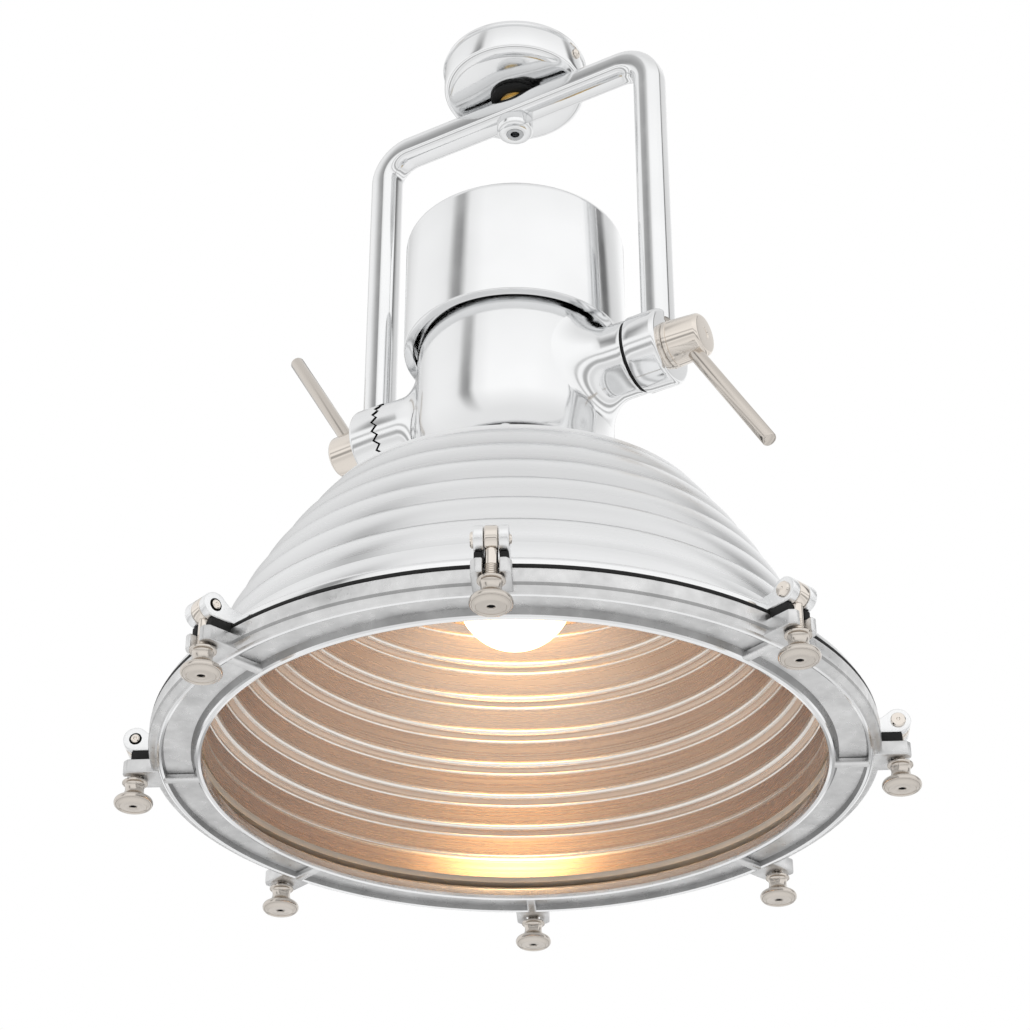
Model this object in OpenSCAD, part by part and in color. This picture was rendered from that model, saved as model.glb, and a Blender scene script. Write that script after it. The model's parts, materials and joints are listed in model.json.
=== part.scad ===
// Pendant lamp of the cargo-light kind: a polished head with a stepped shade hangs by two
// trunnions in a swivelling yoke under a ceiling canopy. Millimetres, +Z up, origin on the ceiling.

/* [Ceiling fitting] */
// Diameter of the canopy
canopy_d = 110; // [90:1:150]
// Height of the canopy
canopy_h = 30; // [26:1:60]
// Wall of the canopy
canopy_wall = 1.6; // [1:0.1:3]
// Radius of the canopy's lower edge
canopy_round = 8; // [3:0.5:12]
// Thickness of the ceiling plate
plate_t = 3; // [2:0.5:6]
// Distance between the two ceiling screws
ceiling_screw_span = 70; // [50:1:80]
// Diameter of the ceiling screw holes
ceiling_hole_d = 5.5; // [4:0.1:8]
// Diameter of the hanger stem
stem_d = 13; // [10:0.5:16]
// Bore of the hanger stem
stem_bore_d = 7; // [4:0.5:9]
// Thickness of the swivel washer between canopy and yoke
swivel_t = 3; // [2:0.5:6]

/* [Yoke] */
// Side of the yoke's rounded bar
bar_w = 22; // [16:0.5:28]
// Rounding of the yoke's bar
bar_round = 8; // [3:0.5:8]
// Centre-line radius of the yoke's two bends
bend_r = 24; // [18:1:40]
// Height of the yoke's top bar above the tilt axis
yoke_rise = 270; // [250:1:320]
// Diameter of the yoke's bosses
boss_d = 56; // [48:1:66]
// Thickness of the yoke's bosses
boss_t = 24; // [22:0.5:30]

/* [Tilt joint] */
// Distance from the lamp axis to each joint face
joint_x = 103; // [100:0.5:115]
// Diameter of the trunnions
trunnion_d = 54; // [46:1:64]
// Number of teeth of the index joint
tooth_count = 24; // [12:12:24]
// Height of the teeth
tooth_h = 4; // [2:0.25:5]
// Play between the toothed faces
tooth_gap = 1; // [0.6:0.1:1.5]
// Thickness of the friction washer
friction_t = 2.6; // [1.5:0.1:4]
// Diameter of the clamp studs
stud_d = 16; // [12:0.5:18]
// Diameter of the clamp nuts
clamp_nut_d = 34; // [28:0.5:40]
// Length of the clamp nuts
clamp_nut_l = 27; // [25:0.5:40]
// Diameter of the clamp levers
lever_d = 9; // [6:0.5:11]
// Length of the clamp levers from the nut's axis
lever_l = 120; // [80:1:130]
// Lean of the levers away from the lamp
lever_lean = 30; // [20:1:35]

/* [Head] */
// Radius of the top cap
cap_r = 81; // [78:0.5:86]
// Height of the top cap
cap_h = 98; // [80:1:110]
// Height of the cap's lower edge above the tilt axis
cap_z = 38; // [38:0.5:50]
// Wall of the top cap
cap_wall = 3; // [2:0.25:4]
// Radius of the cap's top edge
cap_round = 6; // [3:0.5:10]
// Radius of the neck
neck_r = 71; // [66:0.5:74]
// Wall of the neck casting
neck_wall = 4.5; // [3:0.25:6]
// Radius of the flange under the neck
flange_r = 121; // [117:0.5:126]
// Thickness of the flange
flange_t = 7; // [5:0.5:9]
// Depth of the flange's lower face below the tilt axis
flange_depth = 111; // [104:1:118]
// Height of the flare above the flange
flare_h = 68; // [55:1:75]
// Radius of the fillet round the trunnions
trunnion_fillet = 10; // [6:0.5:10]
// Number of flange rivets
rivet_count = 4; // [3:1:8]
// Diameter of the rivet heads
rivet_head_d = 11; // [8:0.5:14]

/* [Shade] */
// Radius of the shade's shoulder
shade_top_r = 140; // [130:0.5:146]
// Radius of the shade at the rim
shade_rim_r = 216; // [214:0.5:230]
// Outward bulge of the shade's flank
shade_bulge = 10; // [0:0.5:12]
// Height of the shade from shoulder to rim
shade_h = 156; // [130:1:190]
// Number of steps in the shade
step_count = 7; // [3:1:9]
// Depth of each step
step_depth = 3.2; // [1:0.1:5]
// Sheet of the shade
sheet_t = 1.8; // [1.2:0.1:3]

/* [Rim and glass] */
// Outer radius of the bezel ring
bezel_r = 240; // [238:0.5:246]
// Inner radius of the bezel ring
bezel_mouth_r = 205; // [195:0.5:208]
// Height of the bezel ring
bezel_h = 14; // [13:0.5:18]
// Floor of the bezel ring
bezel_floor = 5; // [3:0.5:6]
// Thickness of the lamp glass
glass_t = 4; // [3:0.5:5]
// Thickness of the rim gasket
rim_gasket_t = 3; // [2:0.25:5]
// Height of the rim ring
rim_h = 11; // [9:0.5:16]
// Number of swing bolts
bolt_count = 8; // [8]
// Turn of the first swing bolt from the tilt axis
bolt_phase = 28; // [0:1:44]
// Distance of the bolt axes outside the bezel ring
bolt_out = 12; // [11:0.5:16]
// Diameter of the swing bolts
bolt_d = 8; // [6:0.5:9]
// Diameter of the pivot pins
pin_d = 6; // [4:0.5:7]
// Diameter of the bolt eyes
eye_d = 17; // [14:0.5:18]
// Width of the bolt eyes
eye_w = 8; // [6:0.5:10]
// Thickness of the fork ears
ear_t = 6; // [4:0.5:8]
// Diameter of the thumb nuts
thumb_d = 29; // [24:0.5:30]
// Thickness of the thumb nuts
thumb_t = 9; // [7:0.5:12]

/* [Light source] */
// Diameter of the lampholder
holder_d = 46; // [42:0.5:52]
// Length of the lampholder
holder_l = 48; // [46:1:60]
// Diameter of the bulb's screw cap
bulb_cap_d = 26; // [24:0.5:28]
// Diameter of the bulb
bulb_d = 80; // [60:1:95]
// Length of the bulb below its screw cap
bulb_l = 112; // [100:1:125]

/* [Hidden] */
$fn = 96;

// Clearances: radial fit of pins and seats, running face play, overlap of fused shapes
fit = 0.05;
face_play = 0.1;
fuse = 1;

// Heights, measured from the ceiling
yoke_top_z = -(canopy_h + swivel_t);
bar_z = yoke_top_z - bar_w / 2;
axis_z = bar_z - yoke_rise;

// Ceiling fitting
plate_r = canopy_d / 2 - canopy_wall - face_play;
plate_boss_d = stem_d + 12;
plate_boss_h = 10;
stem_nut_d = stem_d + 15;
stem_nut_h = 12;
stem_end_z = yoke_top_z - bar_w - face_play - stem_nut_h;
canopy_screw_d = 4;
canopy_screw_head_d = 8;
canopy_screw_z = -10;
canopy_tab_w = 10;
terminal_y = 26;
terminal_size = [34, 14, 13];
terminal_pitch = 10;
terminal_screw_d = 4;
bush_wall = 2;
bush_flange_t = 1.5;
bush_flange_d = stem_d + 2 * bush_wall + 6;

// Yoke
leg_x = joint_x + bar_w / 2 + 4;
leg_foot_z = boss_d / 2 - 8;
boss_edge = 3;
bar_flat = bar_w - 2 * bar_round;

// Tilt joint
trunnion_r = trunnion_d / 2;
tooth_in_r = stud_d / 2 + 6;
tooth_w = 2 * trunnion_r * sin(180 / tooth_count) * 0.94;
left_face_x = joint_x - tooth_gap;
right_face_x = joint_x - friction_t - face_play;
stud_seat_l = 22;
stud_root_x = joint_x - friction_t - stud_seat_l;
clamp_x = joint_x + boss_t + face_play;
clamp_taper = 1.5;
clamp_edge = 2;
clamp_blind = 5;
stud_end_x = clamp_x + clamp_nut_l - clamp_blind - 1;
lever_x = clamp_x + clamp_nut_l * 0.4;
lever_edge = 1.2;
lever_seat = (stud_d / 2 + 0.5 + lever_d / 2 * sin(lever_lean)) / cos(lever_lean);

// Head
cap_lip_h = 14;
cap_ledge_t = 4;
cap_gasket_t = 1.5;
neck_top_z = cap_z + cap_lip_h - cap_gasket_t;
neck_in_r = neck_r - neck_wall;
cap_in_r = cap_r - cap_wall;
cap_top_z = cap_z + cap_h;
cap_roof_t = 4;
flange_top_z = -flange_depth + flange_t;
rivet_land = rivet_head_d + 1;
flare_reach = flange_r - rivet_land - neck_r;
flare_r = (flare_reach * flare_reach + flare_h * flare_h) / (2 * flare_reach);
flare_top_z = flange_top_z + flare_h;
flange_in_r = flange_r - rivet_land - 14;
rivet_r = flange_r - rivet_land / 2;
rivet_shank_d = rivet_head_d * 0.5;
rivet_head_h = rivet_head_d * 0.36;
flange_gasket_t = 2.5;

// Cable gland on the cap, behind the yoke's bar so that the cable hangs free of it
gland_hole_d = 20;
gland_bore_d = 9;
gland_hex_d = 28;
gland_y = cap_r - cap_round - gland_hex_d / 2 - 1;
gland_hex_h = 7;
gland_neck_h = 12;
gland_tail_h = 12;
gland_seal_h = 8;
gland_nut_h = 16;

// Lampholder, on a plate that lies on the neck's ledge
ledge_t = 4;
ledge_w = 9;
ledge_top_z = -trunnion_r - trunnion_fillet - 5;
holder_plate_t = 2.5;
holder_plate_r = neck_in_r - 0.5;
holder_screw_d = 4;
holder_screw_r = neck_in_r - ledge_w / 2;
holder_top_z = ledge_top_z;
holder_wall = 5;
holder_roof = 14;
holder_fix_r = 14;
sleeve_wall = 1.2;
contact_rise = 8;
bulb_play = 0.6;
bulb_cap_top_z = holder_top_z - holder_roof - contact_rise;
bulb_neck_r = bulb_cap_d / 2 + 2;
bulb_top_z = holder_top_z - holder_l - bulb_play;
bulb_cap_l = bulb_cap_top_z - bulb_top_z;
bulb_bottom_z = bulb_top_z - bulb_l;
bulb_r = bulb_d / 2;
bulb_wall = 1.5;
bulb_neck_h = 12;
bulb_cone_from = 35;
contact_d = 8;

// Shade
shade_top_z = -flange_depth - flange_gasket_t;
shade_round = 6;
shade_rim_z = shade_top_z - shade_h;
shade_collar_r = flange_in_r;
shade_seat_w = 8;
function flank_r(u) = shade_top_r + (shade_rim_r - shade_top_r) * u + 4 * shade_bulge * u * (1 - u);
function flank_z(u) = shade_top_z - shade_round - (shade_h - shade_round) * u;

// Rim stack below the shade
rim_top_z = shade_rim_z;
rim_bottom_z = rim_top_z - rim_h;
rim_out_r = max(bezel_r - 3, shade_rim_r + 4);
rim_in_r = shade_rim_r - sheet_t - shade_seat_w;
rim_slope = rim_h * 0.45;
bezel_top_z = rim_bottom_z - rim_gasket_t;
bezel_bottom_z = bezel_top_z - bezel_h;
ring_w = bezel_r - bezel_mouth_r;
bezel_wall = ring_w * 11 / 35;
seat_in_r = bezel_mouth_r + ring_w * 4 / 35;
seat_play = 0.5;
seat_out_r = bezel_r - bezel_wall - seat_play;
seat_bottom_z = bezel_bottom_z + bezel_floor;
gasket_lip = 3;
seat_top_z = seat_bottom_z + glass_t + 2 * gasket_lip;
glass_r = seat_out_r - ring_w * 3 / 35;
glass_z = seat_bottom_z + gasket_lip;
rib_w = 5;
rib_h = 2;
bezel_round = 4;
bead_r = 2.5;

// Swing bolts
bolt_r = max(bezel_r, rim_out_r + 3) + bolt_out;
pin_z = rim_bottom_z + eye_d / 2;
fork_gap = eye_w + 0.8;
fork_w = fork_gap + 2 * ear_t;
fork_root_r = rim_out_r - 4;
pin_l = fork_w + 6;
pin_head_d = pin_d + 4;
lug_w = 24;
lug_reach = 7;
lug_slot_w = bolt_d + 2;
lug_slot_back = bolt_d / 2 + 2;
lug_top_z = bezel_bottom_z + 10;
nut_play = 1.3;
nut_top_z = bezel_bottom_z - nut_play;
collar_d = bolt_d + 8;
collar_h = 6;
washer_d = collar_d + 5;
washer_h = 2;
thumb_dome_h = 3;
nut_bottom_z = nut_top_z - washer_h - collar_h - thumb_t - thumb_dome_h;
bolt_end_z = nut_bottom_z + thumb_dome_h + 3;

// Finishes
polished = [0.86, 0.87, 0.88];
cast_grey = [0.72, 0.73, 0.74];
warm_nickel = [0.78, 0.74, 0.68];
rubber = [0.06, 0.06, 0.06];
moulding = [0.93, 0.92, 0.88];
brass = [0.8, 0.64, 0.3];

module at_axis() {
    translate([0, 0, axis_z]) children();
}

// Lays a shape drawn along Z out along X, to the left or to the right of the lamp
module along_x(side) {
    rotate([0, side * 90, 0]) children();
}

// Puts children at the place of swing bolt i, with X pointing outwards
module at_bolt(i) {
    rotate([0, 0, bolt_phase + i * 360 / bolt_count]) children();
}

module ring(r_out, r_in, h) {
    difference() {
        cylinder(h = h, r = r_out);
        translate([0, 0, -fuse]) cylinder(h = h + 2 * fuse, r = r_in);
    }
}

// Cylinder with a rounded upper edge
module rounded_disc(r, h, round_r) {
    rotate_extrude() {
        square([r - round_r, h]);
        square([r, h - round_r]);
        intersection() {
            translate([r - round_r, h - round_r]) circle(round_r);
            square([r, h]);
        }
    }
}

module bar_section() {
    square([bar_w, bar_flat], center = true);
    square([bar_flat, bar_w], center = true);
    for (x = [-1, 1], y = [-1, 1]) {
        translate([x * bar_flat / 2, y * bar_flat / 2]) circle(bar_round);
    }
}

// Screw with a domed head, its seat at z = 0 and its shank pointing down
module dome_screw(d, head_d, l) {
    translate([0, 0, -l]) cylinder(h = l + head_d * 0.1, d = d);
    intersection() {
        translate([0, 0, head_d * 0.35 - head_d * 0.54]) sphere(head_d * 0.54);
        cylinder(h = head_d, d = head_d);
    }
}

// Ceiling fitting

module ceiling_plate() {
    trim_z = 3 * canopy_screw_z;
    tab_h = -2 * (canopy_screw_z + plate_t - fuse);
    color(cast_grey) difference() {
        union() {
            translate([0, 0, -plate_t]) cylinder(h = plate_t, r = plate_r);
            translate([0, 0, -plate_t - plate_boss_h]) cylinder(h = plate_boss_h + fuse, d = plate_boss_d);
            for (side = [-1, 1]) {
                translate([side * (plate_r - canopy_tab_w / 2), 0, canopy_screw_z])
                    cube([canopy_tab_w, 2 * canopy_tab_w, tab_h], center = true);
            }
        }
        difference() {
            translate([0, 0, trim_z]) cylinder(h = fuse - trim_z, r = plate_r + canopy_tab_w);
            translate([0, 0, trim_z - fuse]) cylinder(h = 3 * fuse - trim_z, r = plate_r);
        }
        translate([0, 0, -plate_t - plate_boss_h - fuse])
            cylinder(h = plate_t + plate_boss_h, d = stem_d + 2 * fit);
        translate([0, 0, -plate_t]) cylinder(h = plate_t + fuse, d = stem_bore_d);
        for (side = [-1, 1]) {
            translate([0, side * ceiling_screw_span / 2, -plate_t - fuse])
                cylinder(h = plate_t + 2 * fuse, d = ceiling_hole_d);
            translate([side * (plate_r - canopy_tab_w - fuse), 0, canopy_screw_z]) along_x(side)
                cylinder(h = canopy_tab_w + 2 * fuse, d = canopy_screw_d + 2 * fit);
        }
    }
}

module canopy() {
    r = canopy_d / 2;
    color(polished) difference() {
        mirror([0, 0, 1]) rounded_disc(r, canopy_h, canopy_round);
        translate([0, 0, fuse]) mirror([0, 0, 1])
            rounded_disc(r - canopy_wall, canopy_h - canopy_wall + fuse, canopy_round - canopy_wall);
        translate([0, 0, -canopy_h - fuse]) cylinder(h = canopy_wall + 2 * fuse, d = stem_d + 2 * fit);
        for (side = [-1, 1]) {
            translate([0, 0, canopy_screw_z]) along_x(side)
                cylinder(h = canopy_d, d = canopy_screw_d + 2 * fit);
        }
    }
}

module canopy_screws() {
    color(warm_nickel) for (side = [-1, 1]) {
        translate([side * (canopy_d / 2 + face_play), 0, canopy_screw_z]) along_x(side)
            dome_screw(canopy_screw_d, canopy_screw_head_d, canopy_tab_w);
    }
}

module hanger_stem() {
    color(cast_grey) difference() {
        translate([0, 0, stem_end_z]) cylinder(h = -plate_t - fuse - stem_end_z, d = stem_d);
        translate([0, 0, stem_end_z - fuse]) cylinder(h = -stem_end_z, d = stem_bore_d);
    }
}

module stem_nut() {
    color(polished) difference() {
        translate([0, 0, stem_end_z + stem_nut_h]) mirror([0, 0, 1])
            rounded_disc(stem_nut_d / 2, stem_nut_h, stem_nut_h / 3);
        translate([0, 0, stem_end_z - fuse]) cylinder(h = stem_nut_h + 2 * fuse, d = stem_d + 2 * fit);
    }
}

module swivel_washer() {
    color(rubber) translate([0, 0, -canopy_h - swivel_t + face_play])
        ring(plate_boss_d / 2 + 6, stem_d / 2 + fit, swivel_t - face_play);
}

module terminal_block() {
    color(moulding) translate([0, terminal_y, -plate_t - terminal_size[2] / 2]) difference() {
        cube(terminal_size, center = true);
        for (i = [-1:1]) {
            translate([i * terminal_pitch, 0, 0]) rotate([90, 0, 0])
                cylinder(h = terminal_size[1] + 2 * fuse, d = terminal_screw_d, center = true);
            translate([i * terminal_pitch, 0, -terminal_size[2]])
                cylinder(h = terminal_size[2], d = terminal_screw_d + 2 * fit);
        }
    }
}

module terminal_screws() {
    color(brass) for (i = [-1:1]) {
        translate([i * terminal_pitch, terminal_y, -plate_t - terminal_size[2]])
            cylinder(h = terminal_size[2] / 2 - terminal_screw_d / 2, d = terminal_screw_d);
    }
}

// Yoke

module tooth_prisms(from_r, to_r, w, h) {
    for (i = [0 : tooth_count - 1]) {
        rotate([0, 0, i * 360 / tooth_count]) translate([from_r, 0, 0]) rotate([90, 0, 90])
            linear_extrude(to_r - from_r) polygon([[-w / 2, 0], [w / 2, 0], [0, h]]);
    }
}

module yoke_boss(side) {
    translate([side * joint_x, 0, 0]) along_x(side) rounded_disc(boss_d / 2, boss_t, boss_edge);
}

module yoke() {
    bend_z = yoke_rise - bend_r;
    color(polished) at_axis() difference() {
        union() {
            for (side = [-1, 1]) {
                yoke_boss(side);
                translate([side * leg_x, 0, leg_foot_z]) linear_extrude(bend_z - leg_foot_z) bar_section();
                translate([side * (leg_x - bend_r), 0, bend_z]) rotate([90, 0, 0])
                    rotate([0, 0, side > 0 ? 0 : 90]) rotate_extrude(angle = 90)
                    translate([bend_r, 0]) bar_section();
            }
            translate([-leg_x + bend_r, 0, yoke_rise]) along_x(1)
                linear_extrude(2 * (leg_x - bend_r)) bar_section();
        }
        for (side = [-1, 1]) {
            translate([side * (joint_x - fuse), 0, 0]) along_x(side)
                cylinder(h = boss_t + 2 * fuse, d = stud_d + 4 * fit);
        }
        translate([0, 0, yoke_rise - bar_w]) cylinder(h = 2 * bar_w, d = stem_d + 2 * bush_wall + 2 * fit);
        translate([0, 0, yoke_rise + bar_w / 2 - bush_flange_t])
            cylinder(h = bush_flange_t + fuse, d = bush_flange_d + 2 * fit);
        translate([-joint_x, 0, 0]) along_x(-1)
            tooth_prisms(tooth_in_r, boss_d, tooth_w + 2 * face_play, tooth_h);
    }
}

module yoke_bush() {
    color(brass) at_axis() translate([0, 0, yoke_rise - bar_w / 2]) difference() {
        union() {
            cylinder(h = bar_w - face_play, d = stem_d + 2 * bush_wall);
            translate([0, 0, bar_w - bush_flange_t])
                cylinder(h = bush_flange_t - face_play, d = bush_flange_d);
        }
        translate([0, 0, -fuse]) cylinder(h = bar_w + 2 * fuse, d = stem_d + 2 * fit);
    }
}

// Head casting and cap

module neck_profile() {
    centre = [neck_r + flare_r, flare_top_z];
    translate([neck_in_r, flare_top_z - fuse]) square([neck_wall, neck_top_z - flare_top_z + fuse]);
    intersection() {
        difference() {
            translate(centre) circle(flare_r + neck_wall, $fn = 180);
            translate(centre) circle(flare_r, $fn = 180);
        }
        translate([neck_in_r, flange_top_z - fuse]) square([flare_reach + neck_wall, flare_h + fuse]);
    }
    translate([flange_in_r, -flange_depth]) square([flange_r - flange_t / 2 - flange_in_r, flange_t]);
    translate([flange_r - flange_t / 2, -flange_depth + flange_t / 2]) circle(flange_t / 2);
    translate([neck_in_r - ledge_w, ledge_top_z - ledge_t]) square([ledge_w + neck_wall, ledge_t]);
}

// Trunnion with a fillet where it leaves the neck
module trunnion(side, face_x) {
    root_x = neck_in_r - 10;
    fillet_x = neck_r + 2;
    fillet_h = fillet_x + trunnion_fillet - root_x;
    along_x(side) {
        translate([0, 0, root_x]) cylinder(h = face_x - root_x, r = trunnion_r);
        rotate_extrude() difference() {
            translate([0, root_x]) square([trunnion_r + trunnion_fillet, fillet_h]);
            translate([trunnion_r + trunnion_fillet, fillet_x + trunnion_fillet]) circle(trunnion_fillet);
        }
    }
}

module neck_casting() {
    color(polished) at_axis() difference() {
        union() {
            rotate_extrude() neck_profile();
            trunnion(-1, left_face_x);
            trunnion(1, right_face_x);
            translate([-left_face_x + fuse, 0, 0]) along_x(-1) intersection() {
                translate([0, 0, fuse]) tooth_prisms(tooth_in_r + fuse, trunnion_r + fuse, tooth_w, tooth_h);
                cylinder(h = 2 * tooth_h + fuse, r = trunnion_r);
            }
        }
        translate([0, 0, ledge_top_z]) cylinder(h = neck_top_z - ledge_top_z + fuse, r = neck_in_r);
        for (side = [-1, 1]) {
            translate([side * stud_root_x, 0, 0]) along_x(side) cylinder(h = joint_x, d = stud_d + 2 * fit);
        }
        translate([0, 0, -flange_depth]) flange_rivet_holes(flange_t);
        for (side = [-1, 1]) {
            translate([0, side * holder_screw_r, ledge_top_z - ledge_t - fuse])
                cylinder(h = ledge_t + 2 * fuse, d = holder_screw_d + 2 * fit);
        }
    }
}

module top_cap() {
    color(polished) at_axis() translate([0, 0, cap_z]) difference() {
        rounded_disc(cap_r, cap_h, cap_round);
        translate([0, 0, -fuse]) cylinder(h = cap_lip_h + fuse, r = neck_r + fit);
        cylinder(h = cap_lip_h + cap_ledge_t + fuse, r = neck_in_r - 2);
        translate([0, 0, cap_lip_h + cap_ledge_t])
            rounded_disc(cap_in_r, cap_h - cap_lip_h - cap_ledge_t - cap_roof_t, cap_round - cap_wall / 2);
        translate([0, gland_y, cap_h - cap_roof_t - fuse])
            cylinder(h = cap_roof_t + 2 * fuse, d = gland_hole_d + 2 * fit);
    }
}

module cap_gasket() {
    color(rubber) at_axis() translate([0, 0, neck_top_z]) ring(neck_r, neck_in_r, cap_gasket_t);
}

module gland_body() {
    color(brass) at_axis() translate([0, gland_y, cap_top_z]) difference() {
        union() {
            cylinder(h = gland_hex_h, d = gland_hex_d, $fn = 6);
            cylinder(h = gland_hex_h + gland_neck_h, d = gland_hole_d);
            translate([0, 0, -gland_tail_h]) cylinder(h = gland_tail_h + fuse, d = gland_hole_d);
        }
        translate([0, 0, -gland_tail_h - fuse])
            cylinder(h = 3 * gland_tail_h + gland_neck_h, d = gland_bore_d);
        translate([0, 0, gland_hex_h + gland_neck_h - gland_seal_h])
            cylinder(h = gland_seal_h + fuse, d = gland_bore_d + 6);
    }
}

module gland_seal() {
    seal_z = cap_top_z + gland_hex_h + gland_neck_h - gland_seal_h;
    color(rubber) at_axis() translate([0, gland_y, seal_z])
        ring(gland_bore_d / 2 + 3 - fit, gland_bore_d / 2, gland_seal_h);
}

module gland_nut() {
    base_z = cap_top_z + gland_hex_h + face_play;
    color(brass) at_axis() translate([0, gland_y, base_z]) difference() {
        rounded_disc(gland_hex_d / 2, gland_nut_h, 4);
        translate([0, 0, -fuse]) cylinder(h = gland_neck_h + fuse, d = gland_hole_d + 2 * fit);
        cylinder(h = gland_nut_h + fuse, d = gland_bore_d);
    }
}

module stud(side) {
    color(cast_grey) at_axis() translate([side * stud_root_x, 0, 0]) along_x(side)
        cylinder(h = stud_end_x - stud_root_x, d = stud_d);
}

module left_stud() {
    stud(-1);
}

module right_stud() {
    stud(1);
}

module friction_washer() {
    color(rubber) at_axis() translate([right_face_x, 0, 0]) along_x(1)
        ring(trunnion_r - 1, stud_d / 2 + fit, friction_t);
}

// Clamp nuts and levers

module clamp_nut(side) {
    r = clamp_nut_d / 2;
    color(warm_nickel) at_axis() difference() {
        translate([side * clamp_x, 0, 0]) along_x(side) rotate_extrude() {
            polygon([[0, 0], [r, 0], [r - clamp_taper, clamp_nut_l - clamp_edge],
                [r - clamp_taper - clamp_edge, clamp_nut_l], [0, clamp_nut_l]]);
        }
        translate([side * (clamp_x - fuse), 0, 0]) along_x(side)
            cylinder(h = clamp_nut_l - clamp_blind + fuse, d = stud_d + 2 * fit);
        clamp_lever_at(side) translate([0, 0, lever_seat]) cylinder(h = clamp_nut_d, d = lever_d + 2 * fit);
    }
}

// The left lever points up and the right one down, both leaning away from the lamp
module clamp_lever_at(side) {
    translate([side * lever_x, 0, 0]) rotate([0, side > 0 ? 180 - lever_lean : -lever_lean, 0]) children();
}

module clamp_lever(side) {
    color(warm_nickel) at_axis() clamp_lever_at(side) translate([0, 0, lever_seat])
        rounded_disc(lever_d / 2, lever_l - lever_seat, lever_edge);
}

module left_clamp_nut() {
    clamp_nut(-1);
}

module left_clamp_lever() {
    clamp_lever(-1);
}

module right_clamp_nut() {
    clamp_nut(1);
}

module right_clamp_lever() {
    clamp_lever(1);
}

// Lampholder and bulb

module holder_plate() {
    color(cast_grey) at_axis() translate([0, 0, ledge_top_z]) difference() {
        cylinder(h = holder_plate_t, r = holder_plate_r);
        translate([0, 0, -fuse]) cylinder(h = holder_plate_t + 2 * fuse, d = gland_bore_d);
        for (side = [-1, 1]) {
            translate([0, side * holder_screw_r, -fuse])
                cylinder(h = holder_plate_t + 2 * fuse, d = holder_screw_d + 2 * fit);
            translate([side * holder_fix_r, 0, -fuse])
                cylinder(h = holder_plate_t + 2 * fuse, d = holder_screw_d + 2 * fit);
        }
    }
}

module holder_screws() {
    screw_z = ledge_top_z + holder_plate_t;
    color(warm_nickel) at_axis() {
        for (side = [-1, 1]) {
            translate([0, side * holder_screw_r, screw_z])
                dome_screw(holder_screw_d, 2 * holder_screw_d, holder_plate_t + ledge_t);
            translate([side * holder_fix_r, 0, screw_z])
                dome_screw(holder_screw_d, 2 * holder_screw_d, holder_plate_t + holder_roof - holder_wall);
        }
    }
}

module lampholder() {
    color(moulding) at_axis() translate([0, 0, holder_top_z]) difference() {
        mirror([0, 0, 1]) rounded_disc(holder_d / 2, holder_l, 3);
        translate([0, 0, -holder_l - fuse])
            cylinder(h = holder_l - holder_roof + fuse, r = bulb_cap_d / 2 + sleeve_wall + 2 * fit);
        translate([0, 0, -holder_roof - fuse]) cylinder(h = holder_roof + 2 * fuse, d = contact_d + 2 * fit);
        for (side = [-1, 1]) {
            translate([side * holder_fix_r, 0, -holder_roof + holder_wall - fuse])
                cylinder(h = holder_roof + fuse, d = holder_screw_d + 2 * fit);
        }
    }
}

module holder_sleeve() {
    color(brass) at_axis() translate([0, 0, bulb_top_z + 2])
        ring(bulb_cap_d / 2 + sleeve_wall, bulb_cap_d / 2 + fit, bulb_cap_l + contact_rise - 4);
}

module holder_contact() {
    color(brass) at_axis() translate([0, 0, bulb_cap_top_z + face_play])
        cylinder(h = holder_top_z - 2 - bulb_cap_top_z, d = contact_d);
}

module bulb_base() {
    color(warm_nickel) at_axis() translate([0, 0, bulb_top_z]) {
        cylinder(h = bulb_cap_l - 4, d = bulb_cap_d);
        translate([0, 0, bulb_cap_l - 4]) cylinder(h = 4, r1 = bulb_cap_d / 2, r2 = contact_d / 2);
    }
}

// Globe, cone and neck of the bulb, drawn smaller by wall for its hollow
module bulb_form(wall, open_h) {
    r = bulb_r - wall;
    globe_z = bulb_bottom_z + bulb_r;
    cone_z = globe_z + r * sin(bulb_cone_from);
    cone_top_z = bulb_top_z - bulb_neck_h;
    translate([0, 0, globe_z]) sphere(r);
    translate([0, 0, cone_z])
        cylinder(h = cone_top_z - cone_z, r1 = r * cos(bulb_cone_from), r2 = bulb_neck_r - wall);
    translate([0, 0, cone_top_z - fuse]) cylinder(h = bulb_neck_h + fuse + open_h, r = bulb_neck_r - wall);
}

module bulb_glass() {
    color([1, 0.95, 0.8, 0.6]) at_axis() difference() {
        bulb_form(0, 0);
        bulb_form(bulb_wall, fuse);
    }
}

// Shade

module flange_gasket() {
    color(rubber) at_axis() translate([0, 0, -flange_depth - flange_gasket_t]) difference() {
        ring(flange_r - 1, flange_in_r, flange_gasket_t);
        flange_rivet_holes(flange_gasket_t);
    }
}

module flange_rivet_holes(h) {
    for (i = [0 : rivet_count - 1]) {
        rotate([0, 0, bolt_phase + i * 360 / rivet_count])
            translate([rivet_r, 0, -fuse]) cylinder(h = h + 2 * fuse, d = rivet_shank_d + 2 * fit);
    }
}

module flange_rivets() {
    color(polished) at_axis() for (i = [0 : rivet_count - 1]) {
        rotate([0, 0, bolt_phase + i * 360 / rivet_count]) translate([rivet_r, 0, flange_top_z])
            dome_screw(rivet_shank_d, rivet_head_d, flange_t + flange_gasket_t + sheet_t);
    }
}

// Outer line of the flank: each step is a straight band that ends in a small ledge
function step_head(u) = [flank_r(u), flank_z(u)];
function step_foot(u) = [flank_r(u) - step_depth, flank_z(u) + step_depth * 0.6];
function flank_points(inset) = [for (i = [0 : step_count - 1])
    for (p = [step_head(i / step_count), step_foot((i + 1) / step_count)]) p - [inset, 0]];

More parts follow.
